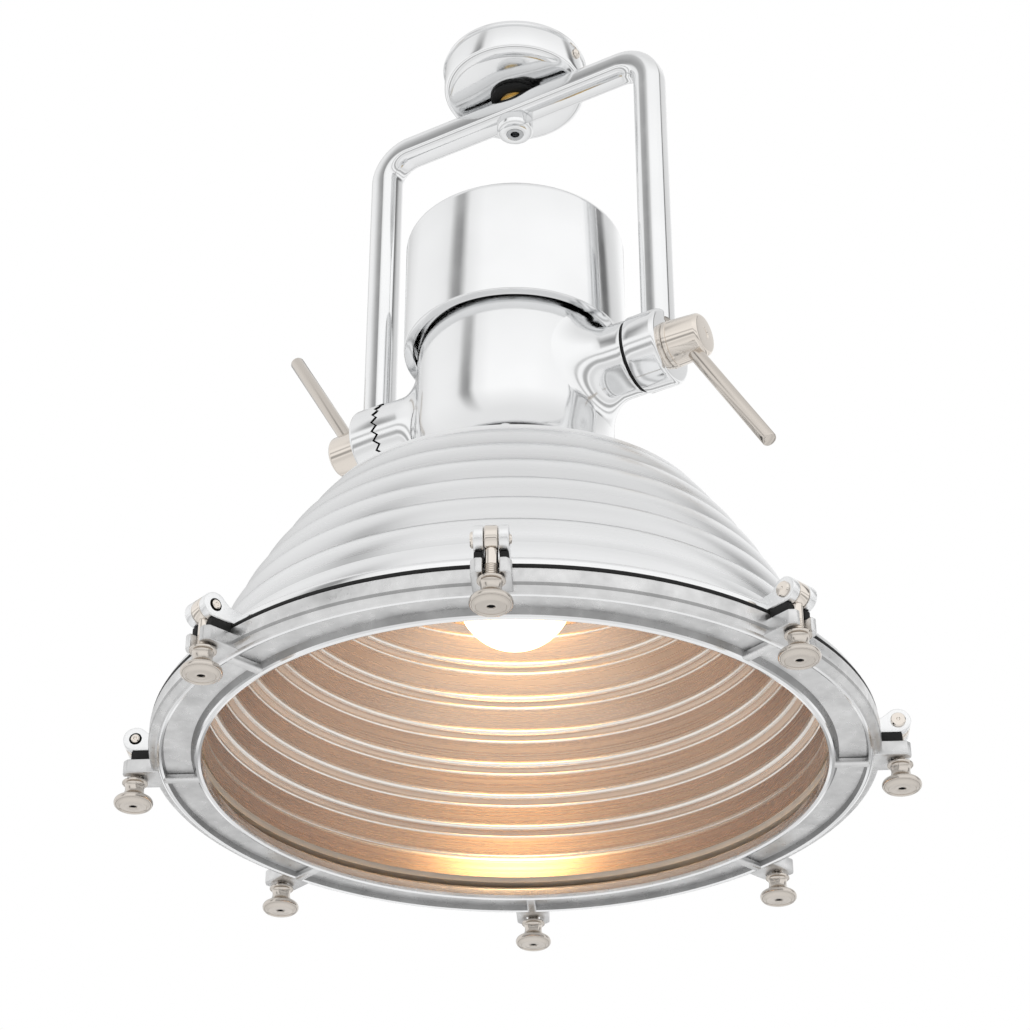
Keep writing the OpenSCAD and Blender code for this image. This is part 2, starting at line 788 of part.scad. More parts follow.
module shade_profile() {
    crown = [[shade_collar_r, shade_top_z], [shade_top_r - shade_round, shade_top_z]];
    foot = [[shade_rim_r, shade_rim_z], [rim_in_r, shade_rim_z], [rim_in_r, shade_rim_z + sheet_t],
        [shade_rim_r - 1.3 * sheet_t - step_depth, shade_rim_z + sheet_t]];
    inner = flank_points(1.3 * sheet_t);
    back = [for (i = [len(inner) - 1 : -1 : 0]) inner[i]];
    crown_back = [[shade_top_r - shade_round - sheet_t / 2, shade_top_z - sheet_t],
        [shade_collar_r, shade_top_z - sheet_t]];
    polygon(concat(crown, flank_points(0), foot, back, crown_back));
}

module shade() {
    color(polished) at_axis() difference() {
        rotate_extrude() shade_profile();
        translate([0, 0, shade_top_z - 2 * sheet_t]) flange_rivet_holes(2 * sheet_t);
    }
}

// Rim, gaskets, glass and bezel

module fork() {
    for (side = [-1, 1]) {
        y = side * (fork_gap + ear_t) / 2;
        translate([fork_root_r, y - ear_t / 2, pin_z - eye_d / 2]) cube([bolt_r - fork_root_r, ear_t, eye_d]);
        translate([bolt_r, y, pin_z]) rotate([90, 0, 0]) cylinder(h = ear_t, d = eye_d, center = true);
    }
}

// The rim's top slopes down from the foot of the shade to the outer wall
module rim_profile() {
    polygon([[rim_in_r, rim_bottom_z], [rim_out_r, rim_bottom_z], [rim_out_r, rim_top_z - rim_slope],
        [shade_rim_r + 2, rim_top_z], [rim_in_r, rim_top_z]]);
}

module rim_ring() {
    color(polished) at_axis() difference() {
        union() {
            rotate_extrude() rim_profile();
            translate([0, 0, seat_top_z]) ring(seat_out_r - fuse, rim_in_r, rim_bottom_z - seat_top_z + fuse);
            for (i = [0 : bolt_count - 1]) {
                at_bolt(i) fork();
            }
        }
        for (i = [0 : bolt_count - 1]) {
            at_bolt(i) translate([bolt_r, 0, pin_z]) rotate([90, 0, 0])
                cylinder(h = 2 * fork_w, d = pin_d + 2 * fit, center = true);
        }
    }
}

module rim_gasket() {
    color(rubber) at_axis() translate([0, 0, bezel_top_z])
        ring(max(bezel_r, rim_out_r) - 0.5, seat_out_r + 1, rim_gasket_t);
}

module pivot_pins() {
    color(warm_nickel) at_axis() for (i = [0 : bolt_count - 1]) {
        at_bolt(i) translate([bolt_r, 0, pin_z]) rotate([90, 0, 0]) {
            cylinder(h = pin_l, d = pin_d, center = true);
            translate([0, 0, fork_w / 2 + face_play]) cylinder(h = 2, d = pin_head_d);
        }
    }
}

module glass_gasket() {
    color(rubber) at_axis() translate([0, 0, seat_bottom_z]) difference() {
        ring(seat_out_r, seat_in_r, seat_top_z - seat_bottom_z);
        translate([0, 0, gasket_lip]) cylinder(h = glass_t, r = glass_r + fit);
    }
}

module lamp_glass() {
    color([0.8, 0.9, 0.95, 0.3]) at_axis() translate([0, 0, glass_z]) cylinder(h = glass_t, r = glass_r);
}

module bezel_profile() {
    floor_w = bezel_r - bezel_mouth_r;
    difference() {
        translate([bezel_mouth_r, bezel_bottom_z]) square([floor_w, bezel_h]);
        translate([bezel_mouth_r - fuse, seat_bottom_z]) square([floor_w - bezel_wall + fuse, bezel_h]);
        translate([bezel_r - bezel_round, bezel_bottom_z]) difference() {
            translate([0, -fuse]) square([bezel_round + fuse, bezel_round + fuse]);
            translate([0, bezel_round]) circle(bezel_round);
        }
    }
    translate([bezel_mouth_r + bead_r, bezel_bottom_z]) circle(bead_r);
}

module bezel_lug() {
    lug_in = bezel_r - bezel_round - 2;
    difference() {
        translate([lug_in, -lug_w / 2, bezel_bottom_z])
            cube([bolt_r + lug_reach - lug_in, lug_w, lug_top_z - bezel_bottom_z]);
        translate([bolt_r - lug_slot_back, -lug_slot_w / 2, bezel_bottom_z - fuse])
            cube([lug_slot_back + lug_reach + fuse, lug_slot_w, bezel_h + 2 * fuse]);
    }
}

module bezel_ring() {
    rib_in = bezel_mouth_r + bead_r;
    color(cast_grey) at_axis() {
        rotate_extrude() bezel_profile();
        for (i = [0 : bolt_count - 1]) {
            at_bolt(i) {
                bezel_lug();
                translate([rib_in, -rib_w / 2, bezel_bottom_z - rib_h])
                    cube([bezel_r - bezel_round - rib_in, rib_w, rib_h + fuse]);
            }
        }
    }
}

// Swing bolts and thumb nuts

module eye_bolt(i) {
    color(warm_nickel) at_axis() at_bolt(i - 1) translate([bolt_r, 0, 0]) difference() {
        union() {
            translate([0, 0, pin_z]) rotate([90, 0, 0]) cylinder(h = eye_w, d = eye_d, center = true);
            translate([0, 0, bolt_end_z]) cylinder(h = pin_z - bolt_end_z - pin_d, d = bolt_d - fit);
        }
        translate([0, 0, pin_z]) rotate([90, 0, 0])
            cylinder(h = 2 * eye_w, d = pin_d + 2 * fit, center = true);
    }
}

module thumb_nut_profile() {
    grip_z = nut_bottom_z + thumb_dome_h;
    dome_r = thumb_d / 2 - thumb_t / 2;
    sphere_r = (dome_r * dome_r + thumb_dome_h * thumb_dome_h) / (2 * thumb_dome_h);
    translate([0, nut_top_z - washer_h]) square([washer_d / 2, washer_h]);
    translate([0, grip_z]) square([collar_d / 2, nut_top_z - grip_z - washer_h / 2]);
    translate([0, grip_z]) square([thumb_d / 2 - thumb_t / 2, thumb_t]);
    translate([thumb_d / 2 - thumb_t / 2, grip_z + thumb_t / 2]) circle(thumb_t / 2);
    intersection() {
        translate([0, nut_bottom_z + sphere_r]) circle(sphere_r);
        translate([0, nut_bottom_z]) square([dome_r, thumb_dome_h + fuse]);
    }
}

module thumb_nut(i) {
    color(warm_nickel) at_axis() at_bolt(i - 1) translate([bolt_r, 0, 0]) difference() {
        rotate_extrude() thumb_nut_profile();
        translate([0, 0, bolt_end_z - face_play])
            cylinder(h = nut_top_z - bolt_end_z + fuse, d = bolt_d + fit);
    }
}

ceiling_plate();
canopy();
canopy_screws();
hanger_stem();
stem_nut();
swivel_washer();
terminal_block();
terminal_screws();
yoke();
yoke_bush();
neck_casting();
top_cap();
cap_gasket();
gland_body();
gland_seal();
gland_nut();
left_stud();
right_stud();
friction_washer();
holder_plate();
holder_screws();
lampholder();
holder_sleeve();
holder_contact();
bulb_base();
bulb_glass();
flange_gasket();
flange_rivets();
shade();
rim_ring();
rim_gasket();
pivot_pins();
glass_gasket();
lamp_glass();
bezel_ring();
left_clamp_nut();
left_clamp_lever();
right_clamp_nut();
right_clamp_lever();
eye_bolt(1);  // eye_bolt_1
eye_bolt(2);  // eye_bolt_2
eye_bolt(3);  // eye_bolt_3
eye_bolt(4);  // eye_bolt_4
eye_bolt(5);  // eye_bolt_5
eye_bolt(6);  // eye_bolt_6
eye_bolt(7);  // eye_bolt_7
eye_bolt(8);  // eye_bolt_8
thumb_nut(1);  // thumb_nut_1
thumb_nut(2);  // thumb_nut_2
thumb_nut(3);  // thumb_nut_3
thumb_nut(4);  // thumb_nut_4
thumb_nut(5);  // thumb_nut_5
thumb_nut(6);  // thumb_nut_6
thumb_nut(7);  // thumb_nut_7
thumb_nut(8);  // thumb_nut_8
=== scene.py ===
"""Looks of a polished pendant lamp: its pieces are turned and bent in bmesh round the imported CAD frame."""

import json
import math

import bmesh
import bpy
from bpy.props import FloatProperty, FloatVectorProperty, IntProperty, PointerProperty
from mathutils import Matrix, Vector


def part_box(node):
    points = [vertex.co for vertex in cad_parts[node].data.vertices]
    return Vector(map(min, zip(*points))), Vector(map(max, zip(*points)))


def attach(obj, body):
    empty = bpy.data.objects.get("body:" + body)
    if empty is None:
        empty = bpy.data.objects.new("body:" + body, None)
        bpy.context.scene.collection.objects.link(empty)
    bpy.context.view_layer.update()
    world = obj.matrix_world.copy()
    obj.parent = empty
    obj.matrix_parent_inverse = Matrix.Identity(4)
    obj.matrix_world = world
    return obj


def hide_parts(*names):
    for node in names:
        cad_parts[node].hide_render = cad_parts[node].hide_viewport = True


bl_info = {
    "name": "Pendant lamp",
    "version": (1, 0, 0),
    "blender": (4, 5, 0),
    "location": "View3D > Sidebar > Lamp",
    "description": "Builds the pieces of a polished pendant lamp with a tilting head",
    "category": "Object",
}

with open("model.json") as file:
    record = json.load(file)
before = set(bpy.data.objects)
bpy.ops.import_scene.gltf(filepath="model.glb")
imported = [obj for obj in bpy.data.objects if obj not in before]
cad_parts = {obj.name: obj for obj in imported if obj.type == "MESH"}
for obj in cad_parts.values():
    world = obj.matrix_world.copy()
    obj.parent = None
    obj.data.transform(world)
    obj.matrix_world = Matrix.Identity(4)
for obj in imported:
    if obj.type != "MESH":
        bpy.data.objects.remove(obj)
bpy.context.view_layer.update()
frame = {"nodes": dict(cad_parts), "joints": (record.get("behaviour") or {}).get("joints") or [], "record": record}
JOINTS = {j["name"]: j for j in frame["joints"]}
AXIS_Z = JOINTS["head_tilt"]["pos_m"][2]
MM = 0.001
PLAY = 0.1
LEFT, RIGHT = -1, 1


def extent(node):
    """Reach along X, lowest and highest point of a solid, in millimetres, with heights from the tilt axis"""
    low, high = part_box(node)
    return [round(value / MM, 1) for value in (high.x, low.z - AXIS_Z, high.z - AXIS_Z)]


# Sizes that the solids give
CANOPY_R, CANOPY_LOW, CEILING = extent("canopy")
STEM_NUT_R, STEM_NUT_LOW, STEM_NUT_TOP = extent("stem_nut")
YOKE_REACH, BOSS_LOW, YOKE_TOP = extent("yoke")
FLANGE_R, FLANGE_LOW, NECK_TOP = extent("neck_casting")
CAP_R, CAP_LOW, CAP_TOP = extent("top_cap")
SHADE_RIM_R, SHADE_RIM, SHADE_TOP = extent("shade")
RIM_GASKET_R, BEZEL_TOP, RIM_LOW = extent("rim_gasket")
SEAL_R, SEAT_LOW, SEAT_TOP = extent("glass_gasket")
GLASS_R, GLASS_LOW, GLASS_TOP = extent("lamp_glass")
_, NUT_LOW, NUT_TOP = extent("thumb_nut_1")
CLAMP_END, _, CLAMP_R = extent("right_clamp_nut")
WASHER_END, _, WASHER_R = extent("friction_washer")
HOLDER_R, HOLDER_LOW, HOLDER_TOP = extent("lampholder")
BULB_R, BULB_LOW, BULB_TOP = extent("bulb_glass")
GLAND_Y = round(sum(corner.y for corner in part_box("gland_nut")) / 2 / MM, 1)
BOLT_COUNT = sum(name.endswith("_swing") for name in JOINTS)
PIVOT = JOINTS["bolt_1_swing"]["pos_m"]
BOLT_R, PIN_Z = round(math.hypot(*PIVOT[:2]) / MM, 1), round((PIVOT[2] - AXIS_Z) / MM, 1)

# Walls, bores and places inside those sizes, in millimetres
CANOPY_H, CANOPY_WALL, CANOPY_SCREW_Z = CEILING - CANOPY_LOW, 1.6, -10.0
STEM_BORE_R, STEM_NUT_H = 6.55, STEM_NUT_TOP - STEM_NUT_LOW
JOINT_X, PLAIN_GAP, STUD_BORE_R = WASHER_END + PLAY, 2.7, 8.05
BOSS_R, BOSS_T, TRUNNION_R = -BOSS_LOW, 24.0, WASHER_R + 1
TOOTH_H, TOOTH_IN_R, TOOTH_GAP = 4.0, 14.0, 1.6
BAR_W, BEND_R, LEG_FOOT = 22.0, 24.0, 20.0
LEG_X, YOKE_RISE = YOKE_REACH - BAR_W / 2, YOKE_TOP - BAR_W / 2
NECK_R, NECK_IN_R = 71.0, 66.5
FLARE_TOP, FLARE_FOOT_R, FLANGE_TOP, FLANGE_IN_R = -36.0, 109.0, FLANGE_LOW + 7, 95.0
RIVET_COUNT, RIVET_START, RIVET_RING_R = 4, 28.0, 115.0
CAP_WALL, CAP_ROOF = 3.0, 4.0
SHADE_TOP_R, SHADE_BULGE, SHADE_ROUND, SHEET = 140.0, 10.0, 6.0, 1.8
RIM_IN_R, RIM_OUT_R, RIM_SLOPE_LOW = 206.2, 237.0, -274.45
BEZEL_R, MOUTH_R, SEAT_R, BEZEL_LOW = RIM_GASKET_R + 0.5, 205.0, SEAL_R + 0.5, BEZEL_TOP - 14
THREAD_R, THREAD_PITCH = 3.97, 1.25
EYE_R, EYE_W, PIN_R, EAR_T, FORK_GAP = 8.5, 8.0, 3.0, 6.0, 8.8
CLAMP_L = 27.0
CLAMP_X = CLAMP_END - CLAMP_L
LEVER_X, LEVER_SEAT, LEVER_L, LEVER_R, LEVER_LEAN = 137.9, 12.41, 120.0, 5.25, 30.0
BULB_Z, BULB_WALL = BULB_LOW + BULB_R, 1.5


# Sizes, colours and angles that a user may change


def length(name, text, default):
    """Length in metres"""
    return FloatProperty(name=name, description=text, default=default, unit="LENGTH", precision=4)


def colour_of(name, text, default):
    """Colour of a finish"""
    return FloatVectorProperty(name=name, description=text, default=default, subtype="COLOR")


def angle(name, text, degrees):
    """Angle, given in degrees"""
    return FloatProperty(name=name, description=text, default=math.radians(degrees), subtype="ANGLE")


class LampSizes(bpy.types.PropertyGroup):
    """Sizes of the lamp's finer forms"""

    step_count: IntProperty(name="Shade steps", description="Number of steps", default=7, min=3, max=9)
    step_depth: length("Step depth", "Depth of each step in the shade", 0.0032)
    band_crown: length("Band crown", "Outward crown of each band of the shade", 0.0018)
    bar_round: length("Bar rounding", "Rounding of the yoke's bar", 0.008)
    tooth_count: IntProperty(name="Teeth", description="Number of teeth", default=24, min=12, max=24)
    bead: length("Bead", "Height of the rolled beads inside the shade", 0.002)
    panel_depth: length("Panel depth", "Depth of the panels under the bezel", 0.003)


class LampFinishes(bpy.types.PropertyGroup):
    """Colours of the lamp's finishes"""

    nickel: colour_of("Polished nickel", "Colour of the polished metal", (0.87, 0.875, 0.88))
    shade: colour_of("Spun shade", "Colour of the shade outside", (0.895, 0.90, 0.905))
    # Painted warm glow: the inside is the same metal as the outside, tinted for the bulb's warm light on it
    shade_inside_painted_glow: colour_of("Shade inside", "Colour of the shade inside", (0.70, 0.53, 0.41))
    # Painted highlight: pale colour for the light that the beads catch
    bead: colour_of("Shade beads", "Colour of the beads inside the shade", (0.97, 0.94, 0.90))
    cast: colour_of("Cast ring", "Colour of the cast bezel", (0.80, 0.80, 0.80))
    warm: colour_of("Warm nickel", "Colour of the nuts, bolts and levers", (0.80, 0.74, 0.675))
    glow: colour_of("Glow", "Colour of the lit bulb", (1.0, 0.63, 0.27))
    glow_strength: FloatProperty(name="Glow strength", description="Bulb's brightness", default=8.0, min=0)


class LampStage(bpy.types.PropertyGroup):
    """Camera and studio"""

    azimuth: angle("Azimuth", "Turn of the camera round the lamp", 31.1)
    elevation: angle("Elevation", "Height angle of the camera", -31.85)
    distance: length("Distance", "Distance of the camera from the tilt axis", 1.814)
    lower: length("Lowering", "Shift of the camera down its own frame", 0.084)
    lens: FloatProperty(name="Lens", description="Focal length on a 36 mm sensor", default=88.0, min=20.0)
    floor_drop: length("Floor", "Depth of the floor below the ceiling", 3.0)


# Finishes


def add_node(tree, kind, settings=None, **sockets):
    """Adds a shader node, with its settings and the values of its sockets"""
    made = tree.nodes.new(kind)
    for key, value in (settings or {}).items():
        setattr(made, key, value)
    for key, value in sockets.items():
        made.inputs[key.replace("_", " ")].default_value = value
    return made


def new_finish(name, colour, metallic, roughness):
    """A Principled material with its plain values set on the shader"""
    finish = bpy.data.materials.new(name + "_finish")
    finish["slot"] = name
    finish.use_nodes = True
    shader = finish.node_tree.nodes["Principled BSDF"]
    shader.inputs["Base Color"].default_value = (*colour, 1.0)
    shader.inputs["Metallic"].default_value = metallic
    shader.inputs["Roughness"].default_value = roughness
    return finish, finish.node_tree, shader


def grain(tree, vector, scale, detail):
    """Noise on the given coordinates"""
    noise = add_node(tree, "ShaderNodeTexNoise", Scale=scale, Detail=detail, Roughness=0.55)
    tree.links.new(vector, noise.inputs["Vector"])
    return noise.outputs["Fac"]


def spread(tree, value, low, high):
    """Spreads the middle part of a noise between two values"""
    made = add_node(tree, "ShaderNodeMapRange", From_Min=0.3, From_Max=0.7, To_Min=low, To_Max=high)
    tree.links.new(value, made.inputs["Value"])
    return made.outputs["Result"]


def haze(tree, shader, value, smooth, rough):
    """Gloss that changes over the surface with a noise"""
    tree.links.new(spread(tree, value, smooth, rough), shader.inputs["Roughness"])


def colour_sockets(sockets):
    """Colour sockets of a mix node, in their order"""
    return [socket for socket in sockets if socket.type == "RGBA"]


def mottle(tree, shader, vector, colour, darker, scale):
    """Slow change of colour over the surface"""
    share = spread(tree, grain(tree, vector, scale, detail=3.0), 0.0, 1.0)
    mix = add_node(tree, "ShaderNodeMix", {"data_type": "RGBA"})
    ends = colour_sockets(mix.inputs)
    ends[0].default_value = (*colour, 1.0)
    ends[1].default_value = (*(c * darker for c in colour), 1.0)
    tree.links.new(share, mix.inputs["Factor"])
    tree.links.new(colour_sockets(mix.outputs)[0], shader.inputs["Base Color"])


def relief(tree, shader, height, strength, distance):
    """Bump from a height value"""
    bump = add_node(tree, "ShaderNodeBump", Strength=strength, Distance=distance)
    tree.links.new(height, bump.inputs["Height"])
    tree.links.new(bump.outputs["Normal"], shader.inputs["Normal"])


def object_coordinates(tree):
    """Coordinates that stay with the piece"""
    return add_node(tree, "ShaderNodeTexCoord").outputs["Object"]


def turning_coordinates(tree):
    """Coordinates that only change with radius and height, for lines round the lamp's axis"""
    place = object_coordinates(tree)
    flat = add_node(tree, "ShaderNodeVectorMath", {"operation": "MULTIPLY"})
    flat.inputs[1].default_value = (1.0, 1.0, 0.0)
    tree.links.new(place, flat.inputs[0])
    radius = add_node(tree, "ShaderNodeVectorMath", {"operation": "LENGTH"})
    tree.links.new(flat.outputs["Vector"], radius.inputs[0])
    parts = add_node(tree, "ShaderNodeSeparateXYZ")
    tree.links.new(place, parts.inputs["Vector"])
    joined = add_node(tree, "ShaderNodeCombineXYZ")
    tree.links.new(radius.outputs["Value"], joined.inputs["X"])
    tree.links.new(parts.outputs["Z"], joined.inputs["Z"])
    return joined.outputs["Vector"]


def polished_metal(name, colour, smooth, rough, wave):
    """Hand-polished metal with faint waves and hazy patches"""
    finish, tree, shader = new_finish(name, colour, metallic=1.0, roughness=smooth)
    place = object_coordinates(tree)
    mottle(tree, shader, place, colour, darker=0.93, scale=9.0)
    haze(tree, shader, grain(tree, place, scale=55.0, detail=4.0), smooth, rough)
    relief(tree, shader, grain(tree, place, scale=26.0, detail=1.0), wave, distance=0.004)
    return finish


def spun_metal(name, colour, smooth, rough, lines=0.12):
    """Sheet spun on a lathe, with fine lines round the axis"""
    finish, tree, shader = new_finish(name, colour, metallic=1.0, roughness=smooth)
    mottle(tree, shader, object_coordinates(tree), colour, darker=0.94, scale=6.0)
    turning = turning_coordinates(tree)
    haze(tree, shader, grain(tree, turning, scale=520.0, detail=3.0), smooth, rough)
    relief(tree, shader, grain(tree, turning, scale=1400.0, detail=2.0), lines, distance=0.0002)
    return finish


def painted_band_shade(finish, depth):
    """Paints shade on a finish, darker towards the lower edge of each band, by the mesh's own band attribute"""
    tree = finish.node_tree
    base = tree.nodes["Principled BSDF"].inputs["Base Color"]
    band = add_node(tree, "ShaderNodeAttribute", {"attribute_name": "band"})
    painted_fade = add_node(tree, "ShaderNodeMapRange", From_Min=0.3, From_Max=1.0, To_Min=1.0, To_Max=1.0 - depth)
    tree.links.new(band.outputs["Fac"], painted_fade.inputs["Value"])
    mix = add_node(tree, "ShaderNodeMix", {"data_type": "RGBA", "blend_type": "MULTIPLY"}, Factor=1.0)
    ends = colour_sockets(mix.inputs)
    tree.links.new(base.links[0].from_socket, ends[0])
    tree.links.new(painted_fade.outputs["Result"], ends[1])
    tree.links.new(colour_sockets(mix.outputs)[0], base)
    return finish


def cast_metal(name, colour):
    """Cast metal with a fine grain, left satin"""
    finish, tree, shader = new_finish(name, colour, metallic=1.0, roughness=0.34)
    place = object_coordinates(tree)
    mottle(tree, shader, place, colour, darker=0.74, scale=42.0)
    haze(tree, shader, grain(tree, place, scale=160.0, detail=4.0), smooth=0.22, rough=0.44)
    relief(tree, shader, grain(tree, place, scale=750.0, detail=5.0), strength=0.22, distance=0.0006)
    return finish


def plain_finish(name, colour, metallic, smooth, rough, scale, bump, shine=0.5):
    """Simple finish with a fine grain in its gloss and surface"""
    finish, tree, shader = new_finish(name, colour, metallic, smooth)
    shader.inputs["Specular IOR Level"].default_value = shine
    place = object_coordinates(tree)
    mottle(tree, shader, place, colour, darker=0.86, scale=45.0)
    fine = grain(tree, place, scale, detail=4.0)
    haze(tree, shader, fine, smooth, rough)
    relief(tree, shader, fine, bump, distance=0.0004)
    return finish


def clear_glass(name):
    """Flat clear glass, seen through, with a faint sheen and smears"""
    finish, tree, shader = new_finish(name, (0.93, 0.96, 0.95), metallic=0.0, roughness=0.03)
    shader.inputs["Alpha"].default_value = 0.05
    shader.inputs["Coat Weight"].default_value = 1.0
    shader.inputs["Coat Roughness"].default_value = 0.02
    smears = grain(tree, object_coordinates(tree), scale=14.0, detail=5.0)
    haze(tree, shader, smears, smooth=0.01, rough=0.06)
    return finish


def glowing_bulb(name, colour, strength):
    """Frosted bulb glass that is lit"""
    finish, tree, shader = new_finish(name, (1.0, 0.95, 0.86), metallic=0.0, roughness=0.35)
    shader.inputs["Emission Color"].default_value = (*colour, 1.0)
    shader.inputs["Emission Strength"].default_value = strength
    frost = grain(tree, object_coordinates(tree), scale=900.0, detail=3.0)
    haze(tree, shader, frost, smooth=0.3, rough=0.45)
    relief(tree, shader, frost, strength=0.08, distance=0.0002)
    return finish


FINISHES = {}


def finishes():
    """The lamp's finishes by slot, made once"""
    if FINISHES:
        return FINISHES
    colours = bpy.context.scene.lamp_finishes
    made = [
        polished_metal("polished", colours.nickel, smooth=0.07, rough=0.15, wave=0.03),
        # The shade's outside gets painted shade, darker towards the lower edge of each band
        painted_band_shade(spun_metal("shade_metal", colours.shade, smooth=0.25, rough=0.35), depth=0.22),
        # Painted warm glow: the inside of the sheet tinted brown for the bulb's warm light
        spun_metal("shade_inside_painted_glow", colours.shade_inside_painted_glow, smooth=0.20, rough=0.34, lines=0.04),
        # Painted highlight: the beads inside are made pale for the light that they catch
        spun_metal("shade_bead_painted_highlight", colours.bead, smooth=0.16, rough=0.26, lines=0.03),
        # Brighter copy of the shade's colour: a painted highlight on the ledges between the bands
        spun_metal("shade_ledge_painted_highlight", [1.09 * c for c in colours.shade], smooth=0.18, rough=0.28),
        # Near-black painted shade for the gaps between teeth, the countersinks of the ears and the dimples of the
        # knobs
        plain_finish("painted_shade_black", (0.012, 0.012, 0.012), 0.0, 0.45, 0.65, 300.0, 0.1, 0.15),
        cast_metal("cast_metal", colours.cast),
        # Darker copy of the cast finish: painted shade on the flanks of the bezel's beads
        cast_metal("cast_painted_shade", [0.55 * c for c in colours.cast]),
        polished_metal("warm_nickel", colours.warm, smooth=0.06, rough=0.13, wave=0.03),
        # Darker copy of warm nickel: painted shade on the knobs and levers
        polished_metal("warm_nickel_painted_shade", [0.80 * c for c in colours.warm], smooth=0.09, rough=0.18, wave=0.05),
        plain_finish("plain_steel", (0.55, 0.56, 0.57), 1.0, 0.25, 0.42, 220.0, 0.08),
        plain_finish("black_rubber", (0.012, 0.012, 0.012), 0.0, 0.48, 0.7, 640.0, 0.2, 0.2),
        plain_finish("pale_rubber", (0.62, 0.54, 0.46), 0.0, 0.38, 0.6, 640.0, 0.12),
        plain_finish("brass", (0.78, 0.58, 0.27), 1.0, 0.16, 0.30, 180.0, 0.06),
        plain_finish("white_moulding", (0.86, 0.85, 0.80), 0.0, 0.18, 0.34, 120.0, 0.05),
        clear_glass("clear_glass"),
        glowing_bulb("bulb_glass", colours.glow, colours.glow_strength),
    ]
    FINISHES.update({finish["slot"]: finish for finish in made})
    return FINISHES


# Shapes


def spin_round(shell, geom, steps):
    """Full turn of points and edges round Z"""
    turn = {"cent": (0, 0, 0), "axis": (0, 0, 1), "angle": 2 * math.pi}
    bmesh.ops.spin(shell, geom=geom, steps=steps, use_merge=True, **turn)


def turned(outline, steps=144):
    """Spins a closed outline of (radius, height) points round Z into a closed shell"""
    shell = bmesh.new()
    corners = [shell.verts.new((r * MM, 0.0, z * MM)) for r, z in outline]
    lines = [shell.edges.new(pair) for pair in zip(corners, corners[1:] + corners[:1])]
    spin_round(shell, corners + lines, steps)
    return close_up(shell)


def close_up(shell):
    """Merges seams and poles and turns all faces outwards"""
    bmesh.ops.remove_doubles(shell, verts=shell.verts, dist=1e-6)
    bmesh.ops.dissolve_degenerate(shell, edges=shell.edges, dist=1e-7)
    bmesh.ops.recalc_face_normals(shell, faces=shell.faces)
    return shell


def flat_ring(inner_r, outer_r, low, high, steps=144):
    """Ring of rectangular section, or a disc where the inner radius is 0"""
    return turned([(inner_r, low), (outer_r, low), (outer_r, high), (inner_r, high)], steps)


def bevel_edges(shell, edges, width, segments):
    """Rounds edges with a bevel"""
    bmesh.ops.bevel(
        shell, geom=edges, offset=width * MM, segments=segments, profile=0.5, affect="EDGES", material=-1
    )
    return shell


def round_rings(shell, places, width, segments):
    """Rounds the edges that run round a turned shell at each (radius, height)"""
    near = 0.02

    def lies_at(v, radius, height):
        return abs(v.co.xy.length / MM - radius) < near and abs(v.co.z / MM - height) < near

    edges = [e for e in shell.edges if any(all(lies_at(v, *place) for v in e.verts) for place in places)]
    return bevel_edges(shell, edges, width, segments)


def soften(shell, width, segments=2, angle=32.0):
    """Bevels every edge that is sharper than an angle"""
    sharp = [e for e in shell.edges if len(e.link_faces) == 2 and e.calc_face_angle() > math.radians(angle)]
    return bevel_edges(shell, sharp, width, segments)


def slab(outline, height, base=0.0):
    """Closed block from a flat outline of (x, y) points"""
    shell = bmesh.new()
    face = shell.faces.new([shell.verts.new((x * MM, y * MM, base * MM)) for x, y in outline])
    grown = bmesh.ops.extrude_face_region(shell, geom=[face], use_keep_orig=True)
    raised = [v for v in grown["geom"] if isinstance(v, bmesh.types.BMVert)]
    bmesh.ops.translate(shell, vec=(0, 0, height * MM), verts=raised)
    return close_up(shell)


def placed(shell, matrix):
    """Moves a shell by a matrix"""
    bmesh.ops.transform(shell, matrix=matrix, verts=shell.verts)
    return shell


def shift(x=0.0, y=0.0, z=0.0):
    """Matrix of a move by millimetres"""
    return Matrix.Translation((x * MM, y * MM, z * MM))


def rotation(axis, degrees):
    """Matrix of a turn round an axis"""
    return Matrix.Rotation(math.radians(degrees), 4, axis)


def on_head(height=0.0):
    """Matrix that moves a shape to a height above the tilt axis"""
    return Matrix.Translation((0, 0, AXIS_Z + height * MM))


def along_x(side, distance=0.0):
    """Matrix that lays a shape drawn along Z on the tilt axis, at a distance from the middle"""
    return on_head() @ rotation("Y", side * 90) @ shift(z=distance)


def joined(*shells):
    """One bmesh that holds several shells"""
    whole = bmesh.new()
    for shell in shells:
        mesh = bpy.data.meshes.new("shell")
        shell.to_mesh(mesh)
        shell.free()
        whole.from_mesh(mesh)
        bpy.data.meshes.remove(mesh)
    return whole


def finish_piece(name, shell, slot, body, nodes, crease=32.0, more=()):
    """Makes the finished object, lets it ride on its body and hides the solids that it stands for"""
    mesh = bpy.data.meshes.new(name)
    shell.to_mesh(mesh)
    shell.free()
    for finish in (slot, *more):
        mesh.materials.append(finishes()[finish])
    mesh.shade_smooth()
    mesh.set_sharp_from_angle(angle=math.radians(crease))
    piece = bpy.data.objects.new(name, mesh)
    bpy.context.scene.collection.objects.link(piece)
    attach(piece, body)
    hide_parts(*nodes)
    return piece


